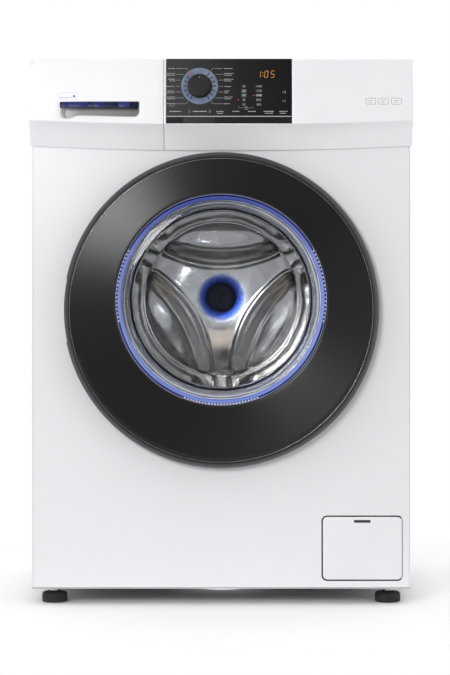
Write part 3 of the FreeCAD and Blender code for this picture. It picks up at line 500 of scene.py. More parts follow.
def make_drawer_front():
    cutter = bmesh.new()
    plate(cutter, pocket_outline(), -262.0, POCKET_BACK)
    fascia_body("drawer_front_shell", "drawer", "drawer_front", 26, cutter, (0.7, 3))

    # a grey liner with a rolled lip sits in the pocket; its left end is a shell that slopes inwards;
    # its colour is painted light at the left end and painted shade further in
    loops = []
    for grow, lift, depth in ((0.9, 0.35, None), (0.2, 0.55, None), (-0.4, 0.2, None),
                              (-0.9, -1.0, None), (-1.2, -3.0, None), (-1.4, -8.0, None),
                              (-1.6, -14.0, None), (-2.0, None, POCKET_BACK - 2.0),
                              (-2.4, None, POCKET_BACK - 0.2), (0.9, None, POCKET_BACK - 0.2)):
        loop = []
        for x, z in pocket_outline(grow):
            y = depth if depth is not None else face_y(z) - lift
            slope = 0.45 * max(0.0, 1.0 - (x - POCKET_X0) / 18.0) if grow < 0 else 0.0
            loop.append((x + slope * max(0.0, y - face_y(z)), y, z))
        loops.append(loop)
    bm = bmesh.new()
    floor_loop = rings(bm, loops)[7]
    bm.faces.new(floor_loop)
    add_piece("drawer_pocket_liner", "drawer", bm, POCKET_PAINTED_SHADE, slot="grey_plastic", sharp=50)

    # blue grip strip: a clear bar over alternating ribs
    grip = Box("drawer_grip")
    bar = rounded(POCKET_X0 + 0.1, grip.z0, POCKET_X1 - 0.1, POCKET_TOP, 1.8)
    piece("drawer_grip_bar", "drawer", GRIP_BLUE, (plate, bar, proud(0.75), grip.y1),
          slot="blue_tint", replaces=("drawer_grip",), bevel=0.35)
    ribs = [rounded(left, grip.z0 + 0.3, right, POCKET_TOP - 0.4, 0.6) for left, right in
            ((-246.2, -238.0), (-237.0, -206.0), (-197.0, -183.0), (-159.0, -142.0))]
    piece("drawer_grip_ribs", "drawer", RIB_BLUE,
          *((plate, rib, proud(0.9), grip.y0 + 2.0) for rib in ribs), slot="blue_tint", bevel=0.12)


def make_fascia():
    bay = bmesh.new()
    bay_low = Box("power_key").z0 - 0.4
    box(bay, (WINDOW.x0 - 0.2, -260.0, bay_low), (WINDOW.x1 + 0.2, BACK_Y - SKIN, FACE_TOP_Z + 5))
    fascia_body("control_fascia_shell", "cabinet", "control_fascia", 40, bay, (0.5, 2))
    # a black sheet fills the gap between the fascia and the drawer front: painted shade in the gap
    gap_closer = [[(x, y + (0.6 if y < BACK_Y else -0.6), min(z, FACE_TOP_Z - 0.6))
             for y, z in fascia_section(x)] for x in (DRAWER.x1 + 0.06, FASCIA.x0 - 0.06)]
    piece("drawer_gap_painted_shade", "cabinet", "black_plastic", (rings, gap_closer, False, True), sharp=50)

    # three small outlined care signs at the right
    piece("care_signs", "cabinet", PRINT_GREY,
          (outline_sign, 232.0, 15.0), (outline_sign, 251.5, 15.5), (outline_sign, 271.5, 15.5),
          slot="white_plastic", sharp=60)
    # a small printed mark over the pocket: pale bars in an outline, and a dot
    piece("drawer_sign_bars", "drawer", PRINT_PALE,
          *((print_box, left, 788.4, left + width, 789.4, 0.05) for left, width in
            ((-250.5, 7.0), (-242.0, 5.0), (-235.5, 4.0))),
          (print_line, rounded(-251.5, 786.6, -222.5, 796.4, 1.0, 2), 0.3, 0.06, 0.25, True),
          slot="blue_tint", sharp=60)
    piece("drawer_sign_dot", "drawer", PRINT_BLUE, (disc, -227.8, 790.8, 1.9, 0.05),
          slot="blue_tint", sharp=60)


def proud(lift):
    """Gives the depth of a print or a bar that stands a little proud of the fascia face."""
    return lambda z: face_y(z) - lift


def print_plate(bm, outline, lift, thick=0.25):
    """A thin plate that follows the leaning face."""
    plate(bm, outline, proud(lift), proud(lift - thick))


def print_box(bm, x0, z0, x1, z1, lift, thick=0.25):
    print_plate(bm, [(x1, z1), (x0, z1), (x0, z0), (x1, z0)], lift, thick)


def disc(bm, cx, cz, radius, lift, thick=0.25, count=24):
    print_plate(bm, [(x, z) for x, _, z in circle(radius, 0.0, count, cx, cz)], lift, thick)


def print_line(bm, points, width, lift, thick=0.25, closed=False):
    """A printed line of even width through (x, z) points on the leaning face."""
    flat = [Vector(point) for point in points]
    over, under = proud(lift), proud(lift - thick)
    loops = []
    for i, point in enumerate(flat):
        before = flat[i - 1] if i or closed else point
        after = flat[(i + 1) % len(flat)] if i + 1 < len(flat) or closed else point
        way = (after - before).normalized()
        across = Vector((-way.y, way.x)) * width / 2
        a, b = point + across, point - across
        loops.append([(a.x, over(a.y), a.y), (b.x, over(b.y), b.y),
                      (b.x, under(b.y), b.y), (a.x, under(a.y), a.y)])
    rings(bm, loops, closed=closed, caps=not closed)


def outline_sign(bm, cx, width):
    """A generic tag: a rounded outline with two bars inside."""
    cz, height = 783.0, 9.5
    outline = rounded(cx - width / 2, cz - height / 2, cx + width / 2, cz + height / 2, 2.2)
    print_line(bm, outline, 0.55, 0.06, closed=True)
    for rise, right in ((1.2, width / 4), (-1.6, width / 8)):
        print_line(bm, [(cx - width / 4, cz + rise), (cx + right, cz + rise)], 0.5, 0.06)


def gradient(name, axis_low, axis_high, stops, rough, axis=0, **sockets):
    """A finish whose colour runs along one axis of the object, in millimetres."""
    material = surface(name, stops[0][1], stops[-1][1], rough=rough, **sockets)
    tree = material.node_tree
    split = node(tree, "SeparateXYZ", [(0, object_coordinates(tree))])
    share = spread(tree, split.outputs[axis], 0.0, 1.0, axis_low * MM, axis_high * MM)
    tree.links.new(ramp(tree, share, stops), tree.nodes["Principled BSDF"].inputs["Base Color"])
    return material


# painted light and shade in the finger pocket: pale at its left end, dark grey further right
POCKET_PAINTED_SHADE = gradient("pocket_painted_shade", POCKET_X0, POCKET_X1,
                       ((0.0, grey(0.8)), (0.08, grey(0.66)), (0.25, grey(0.36)), (1.0, grey(0.22))),
                       (0.35, 0.45))
GRIP_BLUE = gradient("grip_blue", -247.0, -130.0,
                     ((0.0, (0.002, 0.003, 0.012)), (0.5, (0.006, 0.012, 0.06)),
                      (1.0, (0.003, 0.004, 0.02))), (0.34, 0.42),
                     Specular_IOR_Level=0.25)
RIB_BLUE = surface("rib_blue", (0.012, 0.02, 0.11), (0.018, 0.035, 0.17), 60, (0.36, 0.44),
                   Specular_IOR_Level=0.25)
PRINT_GREY = surface("print_grey", grey(0.17, 0.02), grey(0.21, 0.02), 200, (0.4, 0.5))
PRINT_PALE = surface("print_pale", (0.3, 0.36, 0.6), (0.4, 0.46, 0.7), 200, (0.4, 0.5))
PRINT_BLUE = surface("print_blue", (0.02, 0.16, 0.62), (0.04, 0.22, 0.75), 200, (0.4, 0.5))
make_drawer_front()
make_fascia()


# ---------------------------------------------------------------- door

SEGMENTS = 256
FACE_Y = DOOR.y0
BEZEL_Y = FACE_Y + 3.4
EDGE_Y = FACE_Y + 4.4
LIP_R = DOOR_R - 8.5
FACE_R = DOOR_R - 12.0
NOTCH_HALF = 49.0


def door_circle(radius, y):
    return circle(radius, y, SEGMENTS, cz=DOOR.cz)


def port_circle(radius, y):
    return circle(radius, y, SEGMENTS)


def between(first, second, share, y):
    """A loop part of the way from one circle to another that isn't about the same centre."""
    return [(a[0] + (b[0] - a[0]) * share, y, a[2] + (b[2] - a[2]) * share)
            for a, b in zip(first, second)]


def brushed(name, dark, light, rough, strength, **sockets):
    """A satin finish whose sheen runs round the door's axis."""
    material = surface(name, dark, light, 14, rough, (1400, 0.04, 0.00004), Anisotropic=strength,
                       **sockets)
    tree = material.node_tree
    tangent = node(tree, "Tangent")
    tangent.direction_type = "RADIAL"
    tangent.axis = "Y"
    tree.links.new(tangent.outputs[0], tree.nodes["Principled BSDF"].inputs["Tangent"])
    return material


def make_door_ring():
    # bezel: back edge, steep bevel, narrow lip, and the inside of the bevel
    profile = (offset(DOOR_R, FACE_Y, ((-6.0, 31.5), (-1.2, 23.6), (-0.3, 22.3), (0.0, 21.2),
                                       (-0.25, 20.2), (-4.4, 11.0)))
               + offset(LIP_R, BEZEL_Y, ((0.35, 0.6), (-0.3, 0.05), (-1.2, 0.0), (-1.6, 0.3),
                                         (-1.7, 3.2)))
               + offset(DOOR_R, FACE_Y, ((-3.6, 21.5), (-9.0, 31.5))))
    bezel = piece("door_bezel", "door", BEZEL_BLACK,
                  (rings, [door_circle(*point) for point in profile], True),
                  slot="door_black", replaces=("door_outer_ring",), sharp=50)
    notch(bezel)

    # pale trim line between bezel and face
    profile = offset(LIP_R, BEZEL_Y, ((-1.75, 2.6), (-1.75, 0.25), (-2.3, -0.05), (-2.9, 0.15),
                                      (-3.0, 2.6)))
    piece("door_trim_line", "door", TRIM_GREY,
          (rings, [door_circle(*point) for point in profile], True), slot="door_black", sharp=50)

    # face: a gently proud satin annulus that rolls into the porthole
    outer = door_circle(FACE_R + 0.4, EDGE_Y)
    inner = port_circle(PORT_R + 3.0, FACE_Y)
    loops = [between(outer, inner, 0.0, EDGE_Y + 2.8), between(outer, inner, 0.0, EDGE_Y + 0.3)]
    for i in range(13):
        share = i / 12
        swell = share * (1.25 - 0.25 * share)
        loops.append(between(outer, inner, 0.003 + 0.997 * share,
                             EDGE_Y + (FACE_Y + 0.15 - EDGE_Y) * swell))
    loops += [port_circle(*point) for point in offset(
        PORT_R, FACE_Y, ((1.4, 0.25), (0.5, 1.1), (0.35, 2.4), (0.35, 21.0), (3.2, 21.0),
                         (3.2, 3.2)))]
    for i in range(5, -1, -1):
        share = i / 6
        loops.append(between(outer, inner, share, EDGE_Y + 2.8 + (FACE_Y - EDGE_Y) * share))
    piece("door_face", "door", "door_black", (rings, loops), sharp=50)


def notch(item):
    """Clears the hinge's knuckle out of the left rear edge of the bezel."""
    bm = bmesh.new()
    box(bm, (-260.0, FACE_Y + 17.0, DOOR.cz - NOTCH_HALF), (-226.0, -205.0, DOOR.cz + NOTCH_HALF))
    carve(item, bm)
    smooth(item, 50)


def make_light_ring():
    """Outer pale rim, a navy groove with clear beads in it, and a blue band that slopes in."""
    ring_y = LIGHT_RING.y0
    options = {"slot": "blue_translucent", "sharp": 50}
    turned("door_ring_rim", "door", offset(PORT_R, ring_y, (
        (-0.1, 14.0), (-0.1, 0.5), (-0.6, 0.0), (-1.3, 0.3), (-1.5, 1.6), (-1.5, 14.0))),
           RIM_PALE, SEGMENTS, **options)
    turned("door_ring_groove", "door", offset(PORT_R, ring_y, (
        (-1.5, 14.0), (-1.5, 1.4), (-3.4, 4.6), (-3.4, 14.0))), RING_NAVY, SEGMENTS, **options)

    # clear teeth in the groove along the bottom, finer ribs towards both sides
    teeth = [(270 + 1.7 * i, 0.5) for i in range(-12, 13)]
    teeth += [(side + 2.2 * i, 0.42) for side in (8, 172) for i in range(-9, 10)]
    section = offset(PORT_R, ring_y, ((-1.4, 0.6), (-3.6, 3.6), (-3.4, 5.2), (-1.4, 2.4)))
    beads = []
    for degrees, width in teeth:
        ends = (math.radians(degrees - width), math.radians(degrees + width))
        beads.append((rings, [[(radius * math.cos(end), y, AXIS_Z + radius * math.sin(end))
                               for radius, y in section] for end in ends], False, True))
    piece("door_ring_beads", "door", BEAD_CLEAR, *beads, slot="blue_translucent", sharp=40)

    # the band's colour darkens towards the top of the ring: painted shade
    turned("door_ring_band", "door", offset(PORT_R, ring_y, (
        (-3.5, 18.6), (-3.5, 2.6), (-4.2, 2.0), (-7.4, 5.6), (-9.6, 9.4), (-9.6, 10.6),
        (-7.0, 10.8), (-7.0, 18.6))), BAND_BLUE_PAINTED_SHADE, SEGMENTS, slot="blue_translucent",
           replaces=("door_light_ring",), sharp=60)


def make_window():
    pane = Box("door_window")
    edge = pane.x1 + 0.1
    profile = [(0.0, pane.y0 + 0.6), (edge * 0.5, pane.y0 + 0.75), (edge * 0.85, pane.y0 + 1.1),
               (edge - 1.0, pane.y0 + 1.3), (edge, pane.y0 + 2.0), (edge, pane.y1),
               (edge * 0.85, pane.y1 - 0.2), (edge * 0.5, pane.y1 - 0.6), (0.0, pane.y1 - 0.75)]
    turned("door_window_pane", "door", profile, "clear_window", 128, closed=False,
           replaces=("door_window",), sharp=50)


def make_bowl():
    """Pressed glass bowl: thick flange, rounded shoulder, waved wall and a flat end."""
    flange_y, end_y = BOWL.y0, BOWL.y1
    steps = 14
    wall = []
    for i in range(steps + 1):
        share = i / steps
        y = flange_y + 10.0 + (end_y - 20.0 - flange_y - 10.0) * share
        wall.append((147.0 - 22.0 * share, y))
    outside = offset(0.0, flange_y, ((161.8, 4.6), (152.0, 4.8), (149.0, 7.0))) + wall
    outside += offset(0.0, end_y, ((122.8, -13.0), (117.0, -6.6), (106.0, -2.4), (80.0, -0.5),
                                   (40.0, 0.0), (0.0, 0.0)))
    back = offset(0.0, end_y, ((0.0, -4.2), (40.0, -4.4), (79.0, -5.0), (103.0, -7.2),
                               (113.6, -11.4), (118.8, -17.0)))
    back += [(radius - 4.1, y - 0.4) for radius, y in reversed(wall)]
    inside = offset(0.0, flange_y, ((145.4, 0.1), (150.0, 0.0), (161.0, 0.0), (162.0, 1.0),
                                    (162.0, 3.6)))

    def ripple(angle, radius, y):
        if radius < 60 or y < flange_y + 5:
            return 0.0
        depth = (y - flange_y) / (end_y - flange_y)
        return (0.16 * math.sin(9 * angle + 5 * depth) + 0.1 * math.sin(23 * angle - 9 * depth)
                + 0.05 * math.sin(41 * angle + 4 * depth))

    turned("door_bowl", "door", outside + back + inside, "glass", 240, closed=False, wave=ripple,
           replaces=("door_glass",), sharp=60)


def make_bowl_rim():
    """Thick rolled glass beads round the bowl's mouth, which bend the light into bright streaks."""
    def wander(angle, radius, y):
        return 0.28 * math.sin(7 * angle + 0.4 * y) + 0.16 * math.sin(19 * angle + y)

    for name, reach, y, thick in (("bowl_rim_outer", 150.6, BOWL.y0 - 2.9, 2.3),
                                  ("bowl_rim_inner", 143.4, BOWL.y0 - 0.4, 1.7)):
        profile = [(reach + thick * math.cos(2 * math.pi * i / 12),
                    y + thick * math.sin(2 * math.pi * i / 12)) for i in range(12)]
        turned(name, "door", profile, RIM_GLASS, 240, wave=wander, slot="glass", sharp=60)


RIM_GLASS = clear("rim_glass", (0.93, 0.95, 1.0), (0.0, 0.03), 1.45, (40, 0.2, 0.002))
BEZEL_BLACK = surface("bezel_black", grey(0.006), grey(0.009), 14, (0.24, 0.3),
                      (1400, 0.06, 0.00004), Specular_IOR_Level=0.3)
TRIM_GREY = surface("trim_grey", grey(0.16), grey(0.24), 60, (0.2, 0.3), Metallic=0.8)
RIM_PALE = surface("rim_pale", (0.36, 0.38, 0.66), (0.5, 0.52, 0.78), 40, (0.12, 0.2),
                   (500, 0.05, 0.0001), Transmission_Weight=0.3)
RING_NAVY = surface("ring_navy", (0.006, 0.01, 0.07), (0.012, 0.02, 0.14), 40, (0.15, 0.25))
FINISH["door_black"] = brushed("door_satin", grey(0.001), grey(0.002), (0.32, 0.35), 0.85,
                               Specular_IOR_Level=0.62, Anisotropic_Rotation=0.25)
FINISH["glass"] = clear("bowl_glass", (0.97, 0.985, 1.0), (0.0, 0.02), 1.12, (14, 0.12, 0.004))
BEAD_CLEAR = surface("bead_clear", (0.6, 0.62, 0.75), (0.85, 0.86, 0.92), 60, (0.08, 0.15),
                     Coat_Weight=0.5, Coat_Roughness=0.05)
# painted shade: the band's blue darkens towards the top of the ring, where it faces down
BAND_BLUE_PAINTED_SHADE = gradient("band_blue_painted_shade", AXIS_Z - PORT_R, AXIS_Z + PORT_R,
                     ((0.0, (0.20, 0.28, 0.68)), (0.3, (0.3, 0.38, 0.78)), (0.7, (0.26, 0.32, 0.74)),
                      (1.0, (0.06, 0.08, 0.34))), (0.12, 0.2), axis=2, Transmission_Weight=0.2,
                     Emission_Color=(0.1, 0.2, 1.0, 1), Emission_Strength=0.06)
make_door_ring()
make_light_ring()
make_window()
make_bowl()
make_bowl_rim()


# ---------------------------------------------------------------- drum

LOBES = (90.0, 210.0, 330.0)
ARMS = (30.0, 150.0, 270.0)
LOBE_R = 184.0
LOBE_REACH = 240.0
BACK_PLATE_Y = DRUM.y1
HUB_R = 24.5


def back_depth(x, z):
    """Depth of the pressed drum back: a Y of three arms stands proud of three lens-shaped lobes."""
    radius = math.hypot(x, z)
    depth = 0.0
    for degrees in LOBES:
        angle = math.radians(degrees)
        gap = LOBE_R - math.hypot(x - LOBE_REACH * math.cos(angle),
                                  z - LOBE_REACH * math.sin(angle))
        depth += 13.0 * ease((gap + 2.0) / 34.0)
        depth -= 3.2 * math.exp(-((gap + 3.5) / 4.2) ** 2)
        # a second, softer swelling inside each lobe
        depth -= 5.0 * ease((gap - 34.0) / 46.0)
    rim = ease((radius - 212.0) / 22.0)
    return depth * (1.0 - rim) - 4.5 * math.exp(-((radius - 60.0) / 46.0) ** 2) - 2.0 * rim


def make_drum_back():
    count = 288
    radii = [HUB_R - 3 + (DRUM_R - 1.6 - HUB_R + 3) * (i / 96) for i in range(97)]
    loops = []
    for radius in radii:
        loop = []
        for i in range(count):
            angle = 2 * math.pi * i / count
            x, z = radius * math.cos(angle), radius * math.sin(angle)
            loop.append((x, BACK_PLATE_Y - 2.0 + back_depth(x, z), AXIS_Z + z))
        loops.append(loop)
    item = piece("drum_back_panel", "drum", DRUM_STEEL, (rings, loops), slot="stainless",
                 replaces=("drum_back",), sharp=60)
    thicken(item, 1.2)
    smooth(item, 60)


def thicken(item, gauge):
    """Gives a sheet its gauge towards the rear, in millimetres."""
    skin = item.modifiers.new("gauge", "SOLIDIFY")
    skin.thickness = gauge * MM
    skin.offset = 0.0
    apply_modifiers(item)


def make_drum_wall():
    """Rolled drum wall with a real hole in each cell of a staggered pattern."""
    around, along = 132, 17
    start_y, end_y = DRUM.y0 + 16.0, BACK_PLATE_Y - 8.0
    pitch_y = (end_y - start_y) / along
    step = 2 * math.pi / around
    hole = 2.1
    corners = ((1, 0), (1, 1), (0, 1), (-1, 1), (-1, 0), (-1, -1), (0, -1), (1, -1))
    sides = len(corners)
    bm = bmesh.new()
    radius = DRUM_R - 0.7

    def at(angle, y):
        return bm.verts.new((radius * math.cos(angle), y, AXIS_Z + radius * math.sin(angle)))

    for row in range(along):
        shift = 0.5 * step * (row % 2)
        y0 = start_y + row * pitch_y
        for cell in range(around):
            a0 = cell * step + shift
            centre_a, centre_y = a0 + step / 2, y0 + pitch_y / 2
            turns = [2 * math.pi * (k + 0.5) / sides for k in range(sides)]
            inner = [at(centre_a + hole * math.cos(turn) / radius, centre_y + hole * math.sin(turn))
                     for turn in turns]
            outer = [at(centre_a + across * step / 2, centre_y + up * pitch_y / 2)
                     for across, up in corners]
            for k in range(sides):
                bm.faces.new((outer[k], outer[(k + 1) % sides], inner[k], inner[k - 1]))
    item = add_piece("drum_wall", "drum", bm, "stainless", replaces=("drum_shell",), sharp=60)
    thicken(item, 1.0)
    smooth(item, 60)

    # front end: rolled rim, cone and folded mouth; rear band joins the back
    rim = offset(DRUM_R, DRUM.y0, ((-0.2, 16.6), (-0.2, 13.0), (-3.0, 9.6), (-12.0, 8.6)))
    rim += offset(0.0, DRUM.y0, ((172.0, 8.2), (164.6, 5.0), (163.0, 0.6), (161.6, 0.2),
                                 (160.2, 1.4), (160.2, 6.0), (161.4, 6.2), (163.6, 8.0),
                                 (171.0, 9.8)))
    rim += offset(DRUM_R, DRUM.y0, ((-12.0, 10.0), (-4.0, 11.0), (-1.5, 14.0), (-1.5, 16.6)))
    turned("drum_front_rim", "drum", rim, "stainless", 240, sharp=60)
    band = offset(DRUM_R, BACK_PLATE_Y, ((-0.2, -8.6), (0.0, -3.0), (0.0, 0.0), (-2.0, 0.0),
                                         (-2.2, -3.0), (-1.5, -8.6)))
    turned("drum_rear_band", "drum", band, "stainless", 240, sharp=60)


def make_lifters():
    """Hollow paddles: rounded ridges that narrow to their crests."""
    lifter = Box("drum_lifters")
    y0, y1 = lifter.y0, lifter.y1
    bm = bmesh.new()
    for degrees in ARMS:
        loops = []
        for i in range(25):
            share = i / 24
            y = y0 + (y1 - y0) * share
            round_end = math.sqrt(max(1.0 - (2 * share - 1) ** 8, 0.0))
            height = 43.0 * (0.25 + 0.75 * round_end)
            base = DRUM_R - 2.4
            angle = math.radians(degrees)
            points = []
            for k in range(17):
                t = -1 + 2 * k / 16
                across = 29.0 - 7.0 * (1 - abs(t)) ** 0.8
                across *= (1 if t > 0 else -1) * min(abs(t) * 3, 1)
                up = height * (1 - abs(t) ** 2.4)
                radial = math.sqrt(base * base - across * across) - up
                points.append((radial * math.cos(angle) - across * math.sin(angle), y,
                               AXIS_Z + radial * math.sin(angle) + across * math.cos(angle)))
            loops.append(points)
        rings(bm, loops, caps=True)
    add_piece("drum_paddles", "drum", bm, "stainless", replaces=("drum_lifters",), sharp=45,
              bevel=1.0)


def make_hub():
    """Dark cap on the hub and a thin collar round it that follows the pressed back and carries a
    painted blue reflection.
    """
    cap = offset(0.0, BACK_PLATE_Y - 6.0, (
        (HUB_R, 0.0), (HUB_R, -4.0), (HUB_R - 1.5, -6.4), (HUB_R - 6.0, -8.6), (12.0, -9.6),
        (8.0, -9.2), (6.5, -7.6), (0.0, -7.4), (0.0, 0.0)))
    turned("drum_hub_cap", "drum", cap, HUB_NAVY, 96, closed=False, slot="black_plastic", sharp=40)
    spans = [HUB_R + 0.1 + 18.0 * i / 9 for i in range(10)]
    skin = [(radius, BACK_PLATE_Y - 3.0 + back_depth(radius, 0.0)) for radius in spans]
    turned("drum_hub_reflection_collar", "drum", skin + [(radius, y + 0.5) for radius, y in reversed(skin)],
           HUB_PAINTED_REFLECTION, 128, slot="blue_translucent", sharp=40)


def hub_reflection_paint(name, inner, outer):
    """Painted blue reflection at the hub cap that fades into the steel round it."""
    material = surface(name, grey(0.5), grey(0.6), rough=(0.2, 0.3), Metallic=1.0)
    tree = material.node_tree
    place = node(tree, "Mapping", [("Vector", object_coordinates(tree))],
                 Location=(0, 0, -AXIS_Z * MM), Scale=(1, 0, 1))
    reach = node(tree, "VectorMath", [(0, place.outputs["Vector"])])
    reach.operation = "LENGTH"
    share = spread(tree, reach.outputs["Value"], 0.0, 1.0, inner * MM, outer * MM)
    colour = ramp(tree, share, ((0.0, (0.003, 0.006, 0.05)), (0.3, (0.02, 0.05, 0.26)),
                                (0.6, (0.09, 0.14, 0.42)), (1.0, (0.6, 0.61, 0.66))))
    tree.links.new(colour, tree.nodes["Principled BSDF"].inputs["Base Color"])
    return material


def make_gasket():
    """Door bellows: a lip that meets the glass, two folds, and a bead on the tub's neck."""
    gap_closer = Box("door_gasket")
    outer = offset(0.0, gap_closer.y0, ((165.0, 0.2), (165.1, 15.6), (171.0, 20.0), (176.6, 26.0),
                                  (176.9, 34.0)))
    outer += offset(0.0, gap_closer.y1, ((176.9, -0.2), (172.6, -0.2)))
    outer += offset(0.0, gap_closer.y0, ((172.6, 32.0), (169.5, 27.4), (161.5, 22.6), (153.0, 16.0),
                                   (145.6, 9.4), (144.9, 7.4), (146.6, 5.6), (151.0, 6.4),
                                   (157.6, 4.8), (158.2, 0.4)))
    item = turned("door_bellows", None, outer, "gasket_rubber", sharp=60)
    blended(item, "door_gasket")


DRUM_STEEL = surface("drum_steel", (0.66, 0.65, 0.64), (0.84, 0.83, 0.82), 9, (0.1, 0.2),
                     (60, 0.06, 0.0016), Metallic=1.0)
HUB_NAVY = surface("hub_navy", (0.003, 0.004, 0.012), (0.006, 0.007, 0.02), 60, (0.5, 0.6),
                   Specular_IOR_Level=0.08)
# painted reflection: blue round the hub cap that fades into steel further out
HUB_PAINTED_REFLECTION = hub_reflection_paint("hub_painted_reflection", HUB_R, HUB_R + 17.5)
make_drum_back()
make_drum_wall()
make_lifters()
make_hub()
make_gasket()


# ---------------------------------------------------------------- control window, dial and keys

DIAL_X, DIAL_Z = DIAL.cx, DIAL.cz
GLASS_LIFT = 0.75
KEYS = ("power_key", "start_key", "temperature_key", "spin_speed_key", "delay_key",
        "extra_rinse_key")


def spot(angle, radius):
    """A point on the window at a clockwise angle from the top of the dial."""
    turn = math.radians(angle)
    return (DIAL_X + radius * math.sin(turn), DIAL_Z + radius * math.cos(turn))


def ink(bm, points, width, closed=False):
    """A printed line on the window."""
    print_line(bm, points, width, GLASS_LIFT, 0.2, closed)


def add_print(name, bm, finish):
    add_piece(name, "cabinet", bm, finish, slot="black_gloss", sharp=60)


def add_numbers(name, rows, finish, bold, height=3.7):
    """Several numbers as thin plates that lie on the leaning window, joined into one piece."""
    bm = bmesh.new()
    for text, x, z in rows:
        curve = bpy.data.curves.new("number", "FONT")
        curve.body = text
        curve.size = height / 0.73
        curve.align_x = "CENTER"
        curve.align_y = "CENTER"
        curve.extrude = 0.06
        curve.offset = bold
        curve.resolution_u = 3
        maker = bpy.data.objects.new("number", curve)
        bpy.context.scene.collection.objects.link(maker)
        bpy.context.view_layer.update()
        mesh = bpy.data.meshes.new_from_object(maker)
        bpy.data.objects.remove(maker)
        for vert in mesh.vertices:
            across, up, out = vert.co
            vert.co = (x + across, face_y(z + up) - GLASS_LIFT - out, z + up)
        bm.from_mesh(mesh)
        bpy.data.meshes.remove(mesh)
    add_print(name, bm, finish)


def seven_segments(bm, digit, x, z):
    """Lit bars of one leaning display digit; (x, z) is its middle."""
    w, h, thick, slant = 2.45, 5.1, 0.95, 0.12
    lit = {"0": "abcdef", "1": "bc", "5": "afgcd"}[digit]
    bars = {"a": ((-w, h), (w, h)), "b": ((w, h), (w, 0)), "c": ((w, 0), (w, -h)),
            "d": ((-w, -h), (w, -h)), "e": ((-w, 0), (-w, -h)), "f": ((-w, h), (-w, 0)),
            "g": ((-w, 0), (w, 0))}
    for letter in lit:
        (x0, z0), (x1, z1) = bars[letter]
        run = Vector((x1 - x0, z1 - z0)).normalized() * thick * 0.62
        ink(bm, [(x + x0 + run.x + slant * z0, z + z0 + run.y),
                 (x + x1 - run.x + slant * z1, z + z1 - run.y)], thick)


def make_window_face():
    """Glossy plate with a softened edge, coloured with a painted reflection that fades from its left
    end to its right; the key strip's blank key is part of it.
    """
    tongue_x0, tongue_x1 = -58.8, -9.5
    tongue_low = Box("power_key").z0
    low = Box("power_key").z1 + 0.4
    top = WINDOW.z1 - 0.2
    outline = [(WINDOW.x1, top), (WINDOW.x0, top), (WINDOW.x0, low), (tongue_x0, low),
               (tongue_x0, tongue_low), (tongue_x1, tongue_low), (tongue_x1, low),
               (WINDOW.x1, low)]
    piece("control_window_glass", "cabinet", WINDOW_PAINTED_REFLECTION, (print_plate, outline, 0.6, 3.2),
          slot="black_gloss", replaces=("control_window",), bevel=0.35, sharp=12)


TILT = math.atan(LEAN)
DIAL_FACE = Vector((DIAL_X, face_y(DIAL_Z) - 0.6, DIAL_Z))


def on_dial(radius, angle, height):
    """A point about the dial's leaning axis; the height is measured out from the window."""
    outward = Vector((0.0, -math.cos(TILT), math.sin(TILT)))
    upward = Vector((0.0, math.sin(TILT), math.cos(TILT)))
    across = Vector((radius * math.cos(angle), 0.0, 0.0))
    return DIAL_FACE + outward * height + across + upward * radius * math.sin(angle)


def make_dial():
    ring_y = face_y(DIAL_Z) - 0.6
    inner, outer = 18.6, DIAL.x1 - DIAL.cx

    def lean(loop):
        return [(x, y - LEAN * (DIAL_Z - z), z) for x, y, z in loop]

    profile = (offset(outer, ring_y, ((0.0, 0.2), (-0.15, -0.8), (-0.7, -1.15), (-1.6, -1.2)))
               + offset(inner, ring_y, ((1.0, -1.2), (0.2, -1.0), (0.0, -0.4), (0.0, 0.2))))
    piece("dial_ring_face", "cabinet", "dial_ring",
          (rings, [lean(circle(r, y, 144, DIAL_X, DIAL_Z)) for r, y in profile], True),
          replaces=("dial_light_ring",), sharp=40)
    right = list(range(36, 145, 18))
    for name, angles, finish in (("dial_dashes", right + [-turn for turn in right[1:]], DASH_NAVY),
                                 ("dial_dash_lit", [-36], DASH_RED)):
        piece(name, "cabinet", finish,
              *((print_line, [spot(turn, 20.3), spot(turn, 25.2)], 1.8, 2.0, 0.3)
                for turn in angles), slot="dial_ring", sharp=60)

    # knob: fine knurl round the side, a flat face, and its spindle through the window
    reach = 17.9

    def knurl(angle, radius, height):
        return -0.32 * (0.5 + 0.5 * math.cos(72 * angle)) if radius > 17 and 2 < height < 8 else 0.0

    profile = ((0.0, -18.0), (3.0, -18.0), (3.0, 0.6), (reach - 1.0, 0.6), (reach - 0.1, 1.4),
               (reach, 7.6), (reach - 0.3, 8.8), (reach - 1.1, 9.5), (reach - 2.3, 9.7),
               (reach - 3.0, 9.7), (reach - 3.5, 9.45), (0.0, 9.45))
    turns = [2 * math.pi * i / 288 for i in range(288)]
    piece("dial_knob", "dial", KNOB_BLACK,
          (rings, [[on_dial(radius + knurl(turn, radius, height), turn, height) for turn in turns]
                   for radius, height in profile]),
          slot="black_gloss", replaces=("programme_knob",), sharp=12)
    marker = [(0.45, 10.6), (-0.45, 10.6), (-0.45, 13.4), (0.45, 13.4)]
    piece("dial_pointer", "dial", PRINT_DIM,
          (rings, [[on_dial(math.hypot(x, up), math.atan2(up, x), height) for x, up in marker]
                   for height in (9.3, 9.6)], False, True), slot="black_gloss", sharp=40)


def dashes(bm, x0, x1, level, half):
    """A label made of small blocks of uneven width, with the rhythm of a line of letters."""
    x = x0
    while x < x1 - 0.4:
        width = random.uniform(0.7, 1.5)
        rise = half * random.uniform(0.65, 1.0)
        print_box(bm, x, level - rise, min(x + width, x1), level + rise, GLASS_LIFT, 0.2)
        x += width + 0.35


LEADERS = (834.0, 825.0, 816.0, 806.0, 797.5, 788.0, 779.0)


